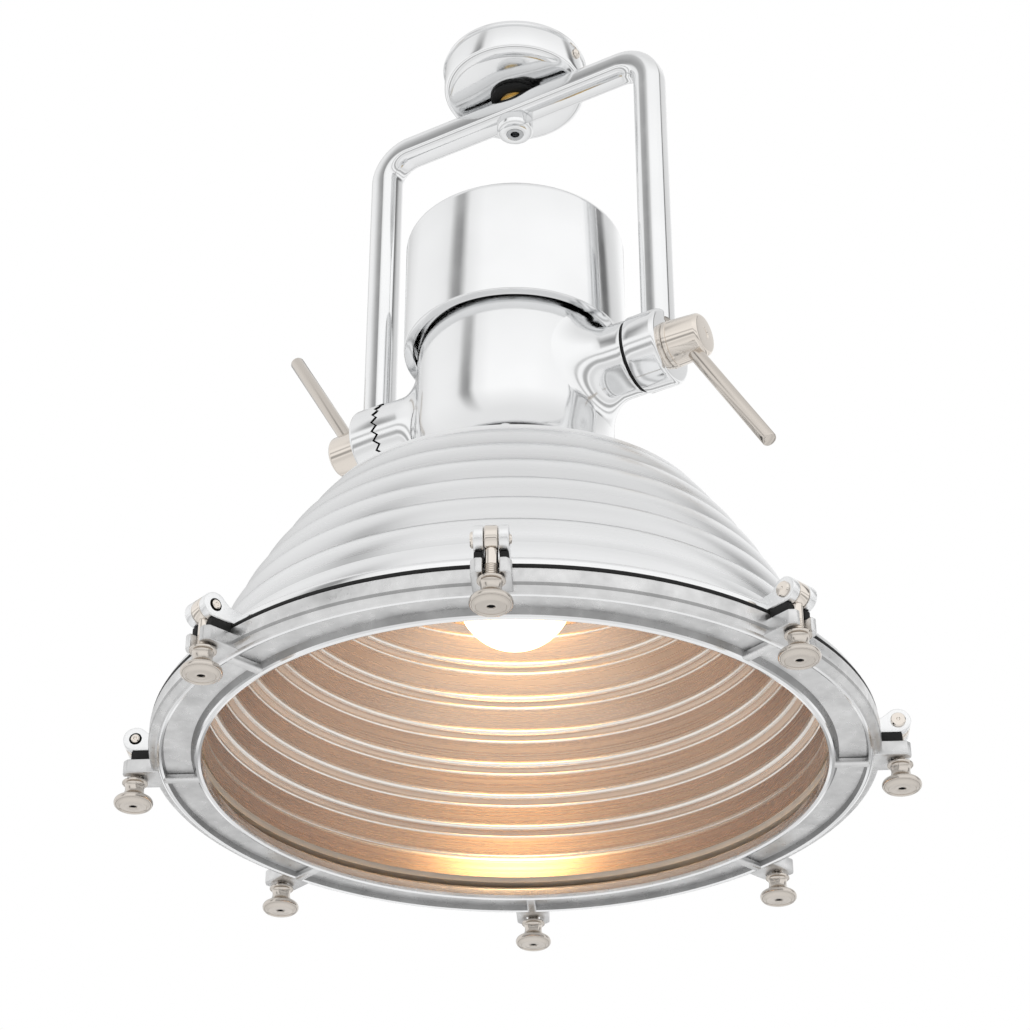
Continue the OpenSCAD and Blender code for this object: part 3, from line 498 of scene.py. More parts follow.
def cut_slot(head):
    """Sinks a driver slot into the dome of a small screw head drawn along Z"""
    half, depth = 0.45 * MM, 0.8 * MM
    for side in (-half, half):
        geom = [*head.verts, *head.edges, *head.faces]
        bmesh.ops.bisect_plane(head, geom=geom, dist=1e-7, plane_co=(0, side, 0), plane_no=(0, 1, 0))
    strip = [f for f in head.faces if f.normal.z > 0.2 and all(abs(v.co.y) < half + 1e-6 for v in f.verts)]
    sunk = bmesh.ops.extrude_face_region(head, geom=strip)["geom"]
    floor = [g for g in sunk if isinstance(g, bmesh.types.BMVert)]
    bmesh.ops.translate(head, vec=(0, 0, -depth), verts=floor)
    return head


def tooth_wave(angle):
    """Triangle wave of the tilt joint's teeth, 1 on each tooth and 0 between two"""
    share = (angle / (2 * math.pi) * bpy.context.scene.lamp_sizes.tooth_count) % 1.0
    return abs(1.0 - 2.0 * share)


def cut_teeth(shell, face_z, outer_r):
    """Moves the ring of points on a joint face along the axis, to make its teeth"""
    for v in shell.verts:
        radius = v.co.xy.length / MM
        if abs(v.co.z - face_z * MM) < 1e-6 and radius > TOOTH_IN_R - PLAY:
            wave = tooth_wave(math.atan2(v.co.y, v.co.x))
            v.co.z += TOOTH_H * wave * radius / outer_r * MM
    low, high = face_z - PLAY, face_z + TOOTH_H + PLAY
    # The tooth faces get the second slot: near-black painted shade for the dark gaps between the teeth
    for face in shell.faces:
        face.material_index = int(all(low < v.co.z / MM < high for v in face.verts))


def bolt_places():
    """Number of each swing bolt, and the matrix that turns a shape from X to its place"""
    for number in range(1, BOLT_COUNT + 1):
        x, y, _ = JOINTS[f"bolt_{number}_swing"]["pos_m"]
        yield number, on_head() @ Matrix.Rotation(math.atan2(y, x), 4, "Z")


# Pieces


class LAMP_OT_ceiling_fitting(bpy.types.Operator):
    """Canopy, washer and stem nut"""

    bl_idname = "lamp.ceiling_fitting"
    bl_label = "Ceiling fitting"

    def execute(self, context):
        inner_r, inner_low, hole = CANOPY_R - CANOPY_WALL, CANOPY_WALL - CANOPY_H, STEM_BORE_R + PLAY / 2
        outline = [(inner_r, 0), (CANOPY_R, 0), (CANOPY_R, -CANOPY_H), (hole, -CANOPY_H), (hole, inner_low)]
        canopy = turned([*outline, (inner_r, inner_low)])
        round_rings(canopy, [(CANOPY_R, -CANOPY_H)], 8, 8)
        round_rings(canopy, [(inner_r, inner_low)], 6.4, 6)
        soften(canopy, 0.4)
        bead = [(-0.4, -2.2), (0.9, -2.6), (1.3, -3.6), (0.9, -4.6), (-0.4, -5.0)]
        bead = turned([(CANOPY_R + r, z) for r, z in bead])
        finish_piece("canopy_dressed", joined(canopy, bead), "polished", "ceiling_fitting", ["canopy"])

        screws = []
        for side in (LEFT, RIGHT):
            head = turned([(0, 0), (4, 0), (4, 0.6), (3.4, 1.7), (2.2, 2.5), (0, 2.8)], 40)
            shank = turned([(0, -9), (1.6, -9), (2, -8.6), (2, 0.3), (0, 0.3)], 32)
            seat = shift(side * (CANOPY_R + PLAY), 0, CANOPY_SCREW_Z) @ rotation("Y", side * 90)
            screws.append(placed(joined(cut_slot(head), shank), seat))
        nodes = ["canopy_screws"]
        finish_piece("canopy_screws_dressed", joined(*screws), "warm_nickel", "ceiling_fitting", nodes)

        nut = flat_ring(STEM_BORE_R, STEM_NUT_R, -STEM_NUT_H, 0, 72)
        round_rings(nut, [(STEM_NUT_R, -STEM_NUT_H)], 4, 6)
        soften(nut, 0.4)
        placed(nut, on_head(STEM_NUT_TOP))
        finish_piece("stem_nut_dressed", nut, "polished", "ceiling_fitting", ["stem_nut"])

        washer = soften(flat_ring(STEM_BORE_R, *extent("swivel_washer")), 0.7, 3)
        placed(washer, on_head())
        finish_piece("swivel_washer_dressed", washer, "black_rubber", "ceiling_fitting", ["swivel_washer"])
        return {"FINISHED"}


class LAMP_OT_yoke(bpy.types.Operator):
    """Bent bar with its two bosses, the left one toothed"""

    bl_idname = "lamp.yoke"
    bl_label = "Yoke"

    def execute(self, context):
        bar = bmesh.new()
        bmesh.ops.create_grid(bar, x_segments=1, y_segments=1, size=BAR_W / 2 * MM)
        bmesh.ops.bevel(
            bar,
            geom=list(bar.verts),
            offset=context.scene.lamp_sizes.bar_round,
            segments=7,
            profile=0.5,
            affect="VERTICES",
            material=-1,
        )
        bmesh.ops.delete(bar, geom=list(bar.faces), context="FACES_ONLY")
        bend_z = AXIS_Z + (YOKE_RISE - BEND_R) * MM
        bmesh.ops.translate(bar, vec=(-LEG_X * MM, 0, AXIS_Z + LEG_FOOT * MM), verts=bar.verts)
        ring = list(bar.edges)

        def drawn(edges, vec):
            """Draws the bar's end out straight"""
            grown = bmesh.ops.extrude_edge_only(bar, edges=edges)["geom"]
            bmesh.ops.translate(bar, vec=vec, verts=[g for g in grown if isinstance(g, bmesh.types.BMVert)])
            return [g for g in grown if isinstance(g, bmesh.types.BMEdge)]

        def bent(edges, centre):
            """Bends the bar's end by a quarter turn"""
            geom = [*{v for e in edges for v in e.verts}, *edges]
            turn = {"cent": centre, "axis": (0, 1, 0), "angle": math.pi / 2}
            grown = bmesh.ops.spin(bar, geom=geom, steps=14, **turn)["geom_last"]
            return [g for g in grown if isinstance(g, bmesh.types.BMEdge)]

        ring = drawn(ring, (0, 0, bend_z - AXIS_Z - LEG_FOOT * MM))
        ring = bent(ring, ((-LEG_X + BEND_R) * MM, 0, bend_z))
        ring = drawn(ring, (2 * (LEG_X - BEND_R) * MM, 0, 0))
        ring = bent(ring, ((LEG_X - BEND_R) * MM, 0, bend_z))
        drawn(ring, (0, 0, AXIS_Z + LEG_FOOT * MM - bend_z))
        bmesh.ops.holes_fill(bar, edges=[e for e in bar.edges if e.is_boundary])
        close_up(bar)

        shells = [bar]
        bore, tooth_root = STUD_BORE_R + PLAY / 2, TOOTH_H + 1
        outline = [(bore, 0), (TOOTH_IN_R, 0), (BOSS_R, 0), (BOSS_R, tooth_root), (BOSS_R, BOSS_T)]
        for side in (LEFT, RIGHT):
            boss = turned([*outline, (bore, BOSS_T)], 192)
            round_rings(boss, [(BOSS_R, BOSS_T)], 3.2, 6)
            if side == LEFT:
                cut_teeth(boss, 0.0, BOSS_R)
            else:
                round_rings(boss, [(BOSS_R, 0)], 0.8, 3)
            shells.append(placed(boss, along_x(side, JOINT_X)))
        finish_piece("yoke_dressed", joined(*shells), "polished", "yoke", ["yoke"], 25, ["painted_shade_black"])
        return {"FINISHED"}


class LAMP_OT_neck(bpy.types.Operator):
    """Neck with its flare, flange and trunnions, and the rivets on it"""

    bl_idname = "lamp.neck"
    bl_label = "Neck"

    def execute(self, context):
        reach, rise = FLARE_FOOT_R - NECK_R, FLARE_TOP - FLANGE_TOP
        flare_r = (reach**2 + rise**2) / (2 * reach)
        heights = [FLARE_TOP - rise * i / 16 for i in range(17)]
        flare = [(NECK_R + flare_r - math.sqrt(flare_r**2 - (FLARE_TOP - z) ** 2), z) for z in heights]
        wall = NECK_R - NECK_IN_R
        inner_r = flare_r + wall
        inner = [(NECK_R + flare_r - math.sqrt(inner_r**2 - (FLARE_TOP - z) ** 2), z) for z in heights]
        inner = [(r, z) for r, z in inner if r < FLANGE_IN_R]
        outline = [(NECK_IN_R, NECK_TOP), (NECK_R, NECK_TOP), *flare, (FLANGE_R, FLANGE_TOP)]
        outline += [(FLANGE_R, FLANGE_LOW), (FLANGE_IN_R, FLANGE_LOW), *reversed(inner)]
        neck = turned(outline, 192)
        round_rings(neck, [(FLANGE_R, FLANGE_TOP), (FLANGE_R, FLANGE_LOW)], 3.2, 5)
        round_rings(neck, [(NECK_R, NECK_TOP)], 1, 3)
        shells = [placed(neck, on_head())]
        for side, face in ((LEFT, JOINT_X - TOOTH_GAP), (RIGHT, JOINT_X - PLAIN_GAP)):
            shells.append(placed(trunnion(side, face), along_x(side)))
        neck = joined(*shells)
        finish_piece("neck_dressed", neck, "polished", "head", ["neck_casting"], 28, ["painted_shade_black"])

        heads = []
        outline = [(0, -0.6), (5.6, -0.6), (5.6, 0.3), (5.1, 1.6), (4.0, 2.8), (2.3, 3.6), (0, 3.9)]
        for number in range(RIVET_COUNT):
            turn = rotation("Z", RIVET_START + 360 / RIVET_COUNT * number)
            seat = on_head(FLANGE_TOP) @ turn @ shift(RIVET_RING_R)
            heads.append(placed(turned(outline, 48), seat))
        finish_piece("flange_rivets_dressed", joined(*heads), "polished", "head", ["flange_rivets"], 40)

        gasket = flat_ring(FLANGE_IN_R, FLANGE_R - 0.6, SHADE_TOP, FLANGE_LOW)
        placed(soften(gasket, 0.5), on_head())
        finish_piece("flange_gasket_dressed", gasket, "black_rubber", "head", ["flange_gasket"])
        return {"FINISHED"}


def trunnion(side, face):
    """Round arm of the neck, drawn along Z, with a flare that follows the neck's round wall"""
    fillet, rise, rings, root, top = 17.0, 15.0, 10, 60.0, 86.0
    turns = [i / rings * math.pi / 2 for i in range(rings + 1)]
    curve = [(TRUNNION_R + fillet * (1 - math.sin(t)), top - rise * math.cos(t)) for t in turns]
    outline = [(0, root), (TRUNNION_R + fillet, root), *curve, (TRUNNION_R, face - 3), (TRUNNION_R, face)]
    outline += [(TOOTH_IN_R, face), (0, face)]
    arm = turned(outline, 192)
    for v in arm.verts:
        z, y = v.co.z / MM, v.co.y / MM
        if z < top - 0.01:
            share = min(1.0, (top - z) / rise)
            v.co.z -= share * (NECK_R - math.sqrt(max(NECK_R**2 - y**2, 1.0))) * MM
    if side == LEFT:
        cut_teeth(arm, face, TRUNNION_R)
    else:
        round_rings(arm, [(TRUNNION_R, face)], 0.8, 3)
    return arm


class LAMP_OT_cap(bpy.types.Operator):
    """Top cap with its cable gland"""

    bl_idname = "lamp.cap"
    bl_label = "Top cap"

    def execute(self, context):
        inner_r, inner_top = CAP_R - CAP_WALL, CAP_TOP - CAP_ROOF
        ledge_r, ledge_low, ledge_top = 64.5, 52, 56
        collar_r, collar_low, groove_r, groove_top, mouth_r = NECK_R + PLAY, 46, 73.6, 45, 75
        outline = [(mouth_r, CAP_LOW), (CAP_R, CAP_LOW), (CAP_R, CAP_TOP), (0, CAP_TOP), (0, inner_top)]
        outline += [(inner_r, inner_top), (inner_r, ledge_top), (ledge_r, ledge_top), (ledge_r, ledge_low)]
        outline += [(collar_r, ledge_low), (collar_r, collar_low), (groove_r, groove_top)]
        cap = turned([*outline, (groove_r, CAP_LOW + 0.8), (mouth_r - 0.6, CAP_LOW)], 192)
        round_rings(cap, [(CAP_R, CAP_TOP)], 6, 8)
        round_rings(cap, [(CAP_R, CAP_LOW)], 1.4, 4)
        finish_piece("top_cap_dressed", placed(cap, on_head()), "polished", "head", ["top_cap"])

        hexagon = bmesh.new()
        seat = shift(y=GLAND_Y)
        wide, bore, hex_h = 14.0, 4.5, 7.0
        sizes = {"radius1": wide * MM, "radius2": wide * MM, "depth": hex_h * MM}
        bmesh.ops.create_cone(hexagon, cap_ends=True, segments=6, **sizes)
        soften(hexagon, 0.8, 3)
        bmesh.ops.translate(hexagon, vec=(0, 0, hex_h / 2 * MM), verts=hexagon.verts)
        thread_r, thread_low, thread_top, seal_r, seal_low = 10.0, -12.0, 19.0, 7.5, 11.0
        outline = [(bore, thread_low), (thread_r, thread_low), (thread_r, thread_top), (seal_r, thread_top)]
        body = turned([*outline, (seal_r, seal_low), (bore, seal_low)], 64)
        gland = placed(joined(hexagon, body), on_head(CAP_TOP) @ seat)
        finish_piece("gland_body_dressed", gland, "brass", "head", ["gland_body"])

        steps, steps_per_groove, groove = 96, 4, 0.955
        nut_bore, nut_roof, nut_h = thread_r + PLAY / 2, thread_top - hex_h + PLAY, 16
        outline = [(bore, nut_roof), (nut_bore, nut_roof), (nut_bore, 0), (wide, 0), (wide, 10), (12.5, 14)]
        nut = turned([*outline, (9, nut_h), (bore, nut_h)], steps)
        for v in nut.verts:
            step = round(math.atan2(v.co.y, v.co.x) / (2 * math.pi) * steps)
            if v.co.xy.length > (wide - PLAY) * MM and step % steps_per_groove == 0:
                v.co.xy *= groove
        soften(nut, 0.4, 2, 40)
        placed(nut, on_head(CAP_TOP + hex_h + PLAY) @ seat)
        finish_piece("gland_nut_dressed", nut, "brass", "head", ["gland_nut"], 40)
        return {"FINISHED"}


OUTSIDE, INSIDE, BEAD, LEDGE = range(4)


class LAMP_OT_shade(bpy.types.Operator):
    """Stepped shade: satin outside, with painted shade and painted highlights on its bands; bright inside, with a
    painted warm glow and painted highlights on its beads
    """

    bl_idname = "lamp.shade"
    bl_label = "Shade"

    def execute(self, context):
        outline = [(FLANGE_IN_R, SHADE_TOP), (SHADE_TOP_R - SHADE_ROUND, SHADE_TOP)]
        outline += [(SHADE_TOP_R - SHEET, SHADE_TOP - SHEET)]
        points, ledges, band_shades = self.outer_flank(context)
        band_shades = [0.0] * len(outline) + band_shades
        outline += [*points, (SHADE_RIM_R, SHADE_RIM), (RIM_IN_R, SHADE_RIM), (RIM_IN_R, SHADE_RIM + SHEET)]
        kinds = [OUTSIDE] * 3 + [LEDGE if ledge else OUTSIDE for ledge in ledges] + [OUTSIDE] * 3
        points, ridges = self.inner_flank(context)
        inner_top = SHADE_TOP - SHEET
        outline += [*points, (SHADE_TOP_R - SHADE_ROUND - 1, inner_top), (FLANGE_IN_R, inner_top)]
        kinds += [INSIDE] + [BEAD if ridge else INSIDE for ridge in ridges] + [INSIDE] * 3
        shell = bmesh.new()
        # Each point's share of the way down its band, which sets the painted shade
        band = shell.verts.layers.float.new("band")
        corners = [shell.verts.new((r * MM, 0.0, z * MM)) for r, z in outline]
        for corner, tone in zip(corners, band_shades):
            corner[band] = tone
        lines = [shell.edges.new(pair) for pair in zip(corners, corners[1:] + corners[:1])]
        for kind in (OUTSIDE, INSIDE, BEAD, LEDGE):
            before = set(shell.faces)
            own = [line for line, own_kind in zip(lines, kinds) if own_kind == kind]
            ends = list({v for line in own for v in line.verts})
            spin_round(shell, ends + own, 192)
            for face in set(shell.faces) - before:
                face.material_index = kind
        placed(close_up(shell), on_head())
        slots = ["shade_inside_painted_glow", "shade_bead_painted_highlight", "shade_ledge_painted_highlight"]
        finish_piece("shade_dressed", shell, "shade_metal", "head", ["shade"], 40, slots)
        return {"FINISHED"}

    @staticmethod
    def line_at(u, inset):
        """Point of the flank's smooth line, from 0 at the shoulder to 1 at the rim"""
        radius = SHADE_TOP_R + (SHADE_RIM_R - SHADE_TOP_R) * u + 4 * SHADE_BULGE * u * (1 - u)
        shoulder = SHADE_TOP - SHADE_ROUND
        return Vector((radius - inset, shoulder + (SHADE_RIM - shoulder) * u))

    def bands(self, context, inset):
        """Upper and lower end of each band of the flank, with its outward direction"""
        sizes = context.scene.lamp_sizes
        depth = sizes.step_depth / MM
        for number in range(sizes.step_count):
            head = self.line_at(number / sizes.step_count, inset)
            foot = self.line_at((number + 1) / sizes.step_count, inset) + Vector((-depth, depth * 0.6))
            yield head, foot, Vector((head.y - foot.y, foot.x - head.x)).normalized()

    def outer_flank(self, context):
        """Outside from shoulder to rim: its points, which stretches are ledges, and places on the bands that set
        the painted shade
        """
        sizes = context.scene.lamp_sizes
        depth, crown = sizes.step_depth / MM, sizes.band_crown / MM
        shares = [i / 6 for i in range(7)]
        points, ledges, band_shades = [], [], []
        for head, foot, outwards in self.bands(context, 0.0):
            if points:
                points.append(head + Vector((-0.25 * depth, 0.35)))
                ledges += [True, True]
                band_shades.append(0.0)
            points += [head.lerp(foot, t) + outwards * crown * 4 * t * (1 - t) for t in shares]
            points.append(foot + Vector((0.15 * depth, -0.4)))
            ledges += [False] * 6 + [True]
            band_shades += [*shares, 1.0]
        return [(p.x, p.y) for p in points], ledges, band_shades

    def inner_flank(self, context):
        """Inside from rim to shoulder: plain bands between rolled beads, and which stretches are beads"""
        high = context.scene.lamp_sizes.bead / MM
        points, ridges = [], []
        for head, foot, outwards in self.bands(context, 1.3 * SHEET):
            down = (foot - head).normalized()
            beads = ((head + down * 0.3, 2.6, 0.5 * high), (foot - down * 5.2, 5.0, high))
            for start, width, rise in beads:
                for i in range(8):
                    t = i / 7
                    points.append(start + down * width * t - outwards * rise * math.sin(math.pi * t) ** 0.7)
                    ridges.append(i > 0)
        return [(p.x, p.y) for p in reversed(points)], [*reversed(ridges[1:])]


class LAMP_OT_rim(bpy.types.Operator):
    """Rim ring with its forks, and the gaskets"""

    bl_idname = "lamp.rim"
    bl_label = "Rim ring and gaskets"

    def execute(self, context):
        step_r, slope_r = SEAT_R - 1.5, SHADE_RIM_R + 2
        outline = [(RIM_IN_R, SEAT_TOP), (step_r, SEAT_TOP), (step_r, RIM_LOW), (RIM_OUT_R, RIM_LOW)]
        outline += [(RIM_OUT_R, RIM_SLOPE_LOW), (slope_r, SHADE_RIM), (RIM_IN_R, SHADE_RIM)]
        rim = turned(outline, 192)
        round_rings(rim, [(RIM_OUT_R, RIM_SLOPE_LOW)], 2.2, 4)
        round_rings(rim, [(RIM_OUT_R, RIM_LOW)], 0.7, 3)
        # The inner wall gets the shade's painted warm glow
        for face in rim.faces:
            face.material_index = int(all(v.co.xy.length < (RIM_IN_R + PLAY) * MM for v in face.verts))
        shells = [placed(rim, on_head())]
        for _, turn in bolt_places():
            for side in (LEFT, RIGHT):
                shells.append(placed(self.ear(), turn @ shift(y=side * (FORK_GAP + EAR_T) / 2)))
        slots = ["shade_inside_painted_glow", "painted_shade_black", "shade_metal"]
        finish_piece("rim_ring_dressed", joined(*shells), "polished", "head", ["rim_ring"], 32, slots)

        outline = [(0, -11.2), (0.9, -11.4), (1.3, -11.9), (2.3, -11.9), (PIN_R, -11.2), (PIN_R, 10.5)]
        outline += [(5, 10.5), (5, 11.6), (4.3, 12.4), (1.3, 12.5), (0.9, 12.0), (0, 11.8)]
        lay = shift(BOLT_R, 0, PIN_Z) @ rotation("X", 90)
        pins = [placed(turned(outline, 40), turn @ lay) for _, turn in bolt_places()]
        finish_piece("pivot_pins_dressed", joined(*pins), "warm_nickel", "head", ["pivot_pins"])

        gasket = flat_ring(SEAT_R + 0.5, RIM_GASKET_R, BEZEL_TOP, RIM_LOW, 192)
        round_rings(gasket, [(RIM_GASKET_R, BEZEL_TOP), (RIM_GASKET_R, RIM_LOW)], 0.8, 3)
        shells = [placed(gasket, on_head())]
        # Black rubber pads at each bolt, between the ear and the lug: partly the gasket seen there, partly painted
        # shade that darkens the gap
        for _, turn in bolt_places():
            for side in (LEFT, RIGHT):
                root, end, near, far = BEZEL_R - 1, BOLT_R + 2, side * 4.9, side * 10.2
                pad = slab([(root, near), (end, near), (end, far), (root, far)], 6.7, BEZEL_TOP - 3.9)
                shells.append(placed(soften(pad, 0.8, 3), turn))
        finish_piece("rim_gasket_dressed", joined(*shells), "black_rubber", "head", ["rim_gasket"])

        lip_r, groove_r = MOUTH_R + 4, GLASS_R + PLAY
        groove_top, groove_low = GLASS_TOP + PLAY, GLASS_LOW - PLAY
        outline = [(lip_r, SEAT_LOW), (SEAL_R, SEAT_LOW), (SEAL_R, SEAT_TOP), (lip_r, SEAT_TOP)]
        outline += [(lip_r, groove_top), (groove_r, groove_top), (groove_r, groove_low), (lip_r, groove_low)]
        seal = placed(turned(outline, 192), on_head())
        finish_piece("glass_gasket_dressed", seal, "pale_rubber", "head", ["glass_gasket"])
        return {"FINISHED"}

    @staticmethod
    def ear():
        """One ear of a fork: an upright plate with a round end and a countersunk hole"""
        turns = [math.radians(228 * i / 24) for i in range(25)]
        edge = [(EYE_R * math.sin(a), -EYE_R * math.cos(a)) for a in turns]
        edge += [(-11, 2.2), (-21, 1.4), (-21, -EYE_R), (-12, -EYE_R), (-7, -EYE_R), (-3.2, -EYE_R)]
        shell = bmesh.new()
        half, hole, sink, sink_r = EAR_T / 2, PIN_R + PLAY, 1.2, 4.3
        dark, satin = 2, 3
        loops = []
        near_side = [(0, -half), (sink_r, -half), (hole, sink - half)]
        for hole_r, y in (*near_side, *((r, -y) for r, y in reversed(near_side))):
            ring = [Vector(p).normalized() * hole_r if hole_r else Vector(p) for p in edge]
            ring = [shell.verts.new(((BOLT_R + p.x) * MM, y * MM, (PIN_Z + p.y) * MM)) for p in ring]
            loops.append([shell.edges.new(pair) for pair in zip(ring, ring[1:] + ring[:1])])
        outer = [*loops[0], *loops[-1]]
        # The countersinks get near-black painted shadow, the rest of the ear is satin
        for number, pair in enumerate(zip(loops, loops[1:] + loops[:1])):
            made = bmesh.ops.bridge_loops(shell, edges=[*pair[0], *pair[1]])["faces"]
            for face in made:
                face.material_index = dark if number in (1, 3) else satin
        bmesh.ops.recalc_face_normals(shell, faces=shell.faces)
        return bevel_edges(shell, outer, 0.8, 3)


class LAMP_OT_bezel(bpy.types.Operator):
    """Cast bezel with panels, ribs and slotted lugs, and the glass in it"""

    bl_idname = "lamp.bezel"
    bl_label = "Bezel and glass"

    def execute(self, context):
        low, panel = BEZEL_LOW, BEZEL_LOW + context.scene.lamp_sizes.panel_depth / MM
        inner_bead = [(0, 0), (0.8, -1.8), (2.5, -2.5), (4.2, -1.8), (5.0, -0.6)]
        outer_bead = [(8.8, -0.5), (7.4, -1.2), (6, -0.8), (4.8, 0.4), (2.2, 1.0), (0.6, 2.4), (0, 4.4)]
        outline = [(MOUTH_R, SEAT_LOW), *((MOUTH_R + r, low + z) for r, z in inner_bead)]
        outline += [(MOUTH_R + 7.4, panel), (BEZEL_R - 10, panel)]
        outline += [(BEZEL_R - r, low + z) for r, z in outer_bead]
        outline += [(BEZEL_R, BEZEL_TOP), (SEAT_R, BEZEL_TOP), (SEAT_R, SEAT_LOW)]
        ring = turned(outline, 192)
        round_rings(ring, [(BEZEL_R, BEZEL_TOP)], 1.0, 3)
        # The mouth and the bead crests get the polished finish, the flanks of the beads the darker painted shade
        for face in ring.faces:
            heights = [v.co.z / MM for v in face.verts]
            mouth = all(v.co.xy.length < (MOUTH_R + PLAY) * MM for v in face.verts)
            if mouth or max(heights) < low - 0.4:
                face.material_index = 1
            elif max(heights) > panel - PLAY and low - 1 < min(heights) < panel - PLAY:
                face.material_index = 2
        shells = [placed(ring, on_head())]
        for _, turn in bolt_places():
            shells += [placed(self.rib(), turn), placed(self.lug(), turn)]
        slots = ["polished", "cast_painted_shade"]
        finish_piece("bezel_dressed", joined(*shells), "cast_metal", "head", ["bezel_ring"], 32, slots)

        glass = flat_ring(0, GLASS_R, GLASS_LOW, GLASS_TOP)
        round_rings(glass, [(GLASS_R, GLASS_LOW), (GLASS_R, GLASS_TOP)], 0.6, 2)
        finish_piece("lamp_glass_dressed", placed(glass, on_head()), "clear_glass", "head", ["lamp_glass"])
        return {"FINISHED"}

    @staticmethod
    def rib():
        """Rib across the bezel's sunk panel, in line with a bolt"""
        near, far, half = MOUTH_R + 3, BEZEL_R - 7, 3.4
        block = slab([(near, -half), (far, -half), (far, half), (near, half)], 5, BEZEL_LOW - 1.9)
        return soften(block, 1.8, 5)

    @staticmethod
    def lug():
        """Lug with an open slot, which a bolt swings into"""
        root, end, half, corner = BOLT_R - 18, BOLT_R + 7, 12, 3
        slot_end, slot_half = BOLT_R - 6, 5
        side = [(root, -half), (end - corner, -half), (end, corner - half)]
        side += [(end, -slot_half), (slot_end, -slot_half)]
        return soften(slab([*side, *((x, -y) for x, y in reversed(side))], 10, BEZEL_LOW), 0.9, 3)


class LAMP_OT_swing_bolts(bpy.types.Operator):
    """Eye bolts and their thumb nuts"""

    bl_idname = "lamp.swing_bolts"
    bl_label = "Swing bolts"

    def execute(self, context):
        for number, turn in bolt_places():
            seat = turn @ shift(BOLT_R)
            eye = soften(flat_ring(PIN_R + PLAY / 2, EYE_R, -EYE_W / 2, EYE_W / 2, 56), 1.1, 3)
            placed(eye, shift(z=PIN_Z) @ rotation("X", 90))
            bolt = placed(joined(eye, self.shank()), seat)
            name = f"eye_bolt_{number}"
            finish_piece(name + "_dressed", bolt, "warm_nickel", f"bolt_{number}", [name])
            nut = placed(self.thumb_nut(), seat)
            name, slots = f"thumb_nut_{number}", ["painted_shade_black", "warm_nickel_painted_shade"]
            finish_piece(name + "_dressed", nut, "warm_nickel", f"nut_{number}", [name], 40, slots)
        return {"FINISHED"}

    @staticmethod
    def shank():
        """Shank of a bolt with the ridges of its thread"""
        top, low = PIN_Z - 6.0, NUT_LOW + 6.0
        outline = [(0, low), (3.4, low), (THREAD_R, low + 0.6)]
        core_r = THREAD_R - 0.42
        z = low + 0.6
        while z < NUT_TOP + 9.0:
            outline += [(THREAD_R, z + 0.35), (core_r, z + 0.7), (core_r, z + 0.85), (THREAD_R, z + 1.2)]
            z += THREAD_PITCH
        return turned([*outline, (THREAD_R, z + 0.4), (THREAD_R, top), (0, top)], 40)

    @staticmethod
    def thumb_nut():
        """Smooth round knob with a washer and a waisted collar above it and a dished face below"""
        low, top, bore = NUT_LOW, NUT_TOP, 4.03
        washer = [(8.0, 0), (8.5, 0.5), (8.5, 1.5), (8.0, 2)]
        collar = [(6.9, 2.2), (6.4, 3.8), (6.2, 6), (6.6, 8.4), (7.6, 9.8)]
        outline = [(bore, low + 5.9), (bore, top), *((r, top - z) for r, z in (*washer, *collar))]
        edge_r, edge_z, edge_round = 9.4, low + 4.8, 3.6
        for i in range(13):
            turn = math.radians(90 - i * 15)
            outline.append((edge_r + edge_round * math.cos(turn), edge_z + edge_round * math.sin(turn)))
        dish = [(9.1, 1.4), (8.8, 1.9), (6.0, 2.0), (3.4, 1.7), (2.6, 1.9)]
        hollow = [(2.2, 2.6), (1.9, 4.0), (0, 4.4), (0, 5.9)]
        nut = turned([*outline, *((r, low + z) for r, z in (*dish, *hollow))], 72)
        # The dimple gets near-black painted shade and the rest of the knob a darker painted-shade copy of warm
        # nickel
        for face in nut.faces:
            dimple = all(v.co.xy.length < 2.3 * MM and v.co.z < (low + 4.5) * MM for v in face.verts)
            face.material_index = 1 if dimple else 2
        return nut


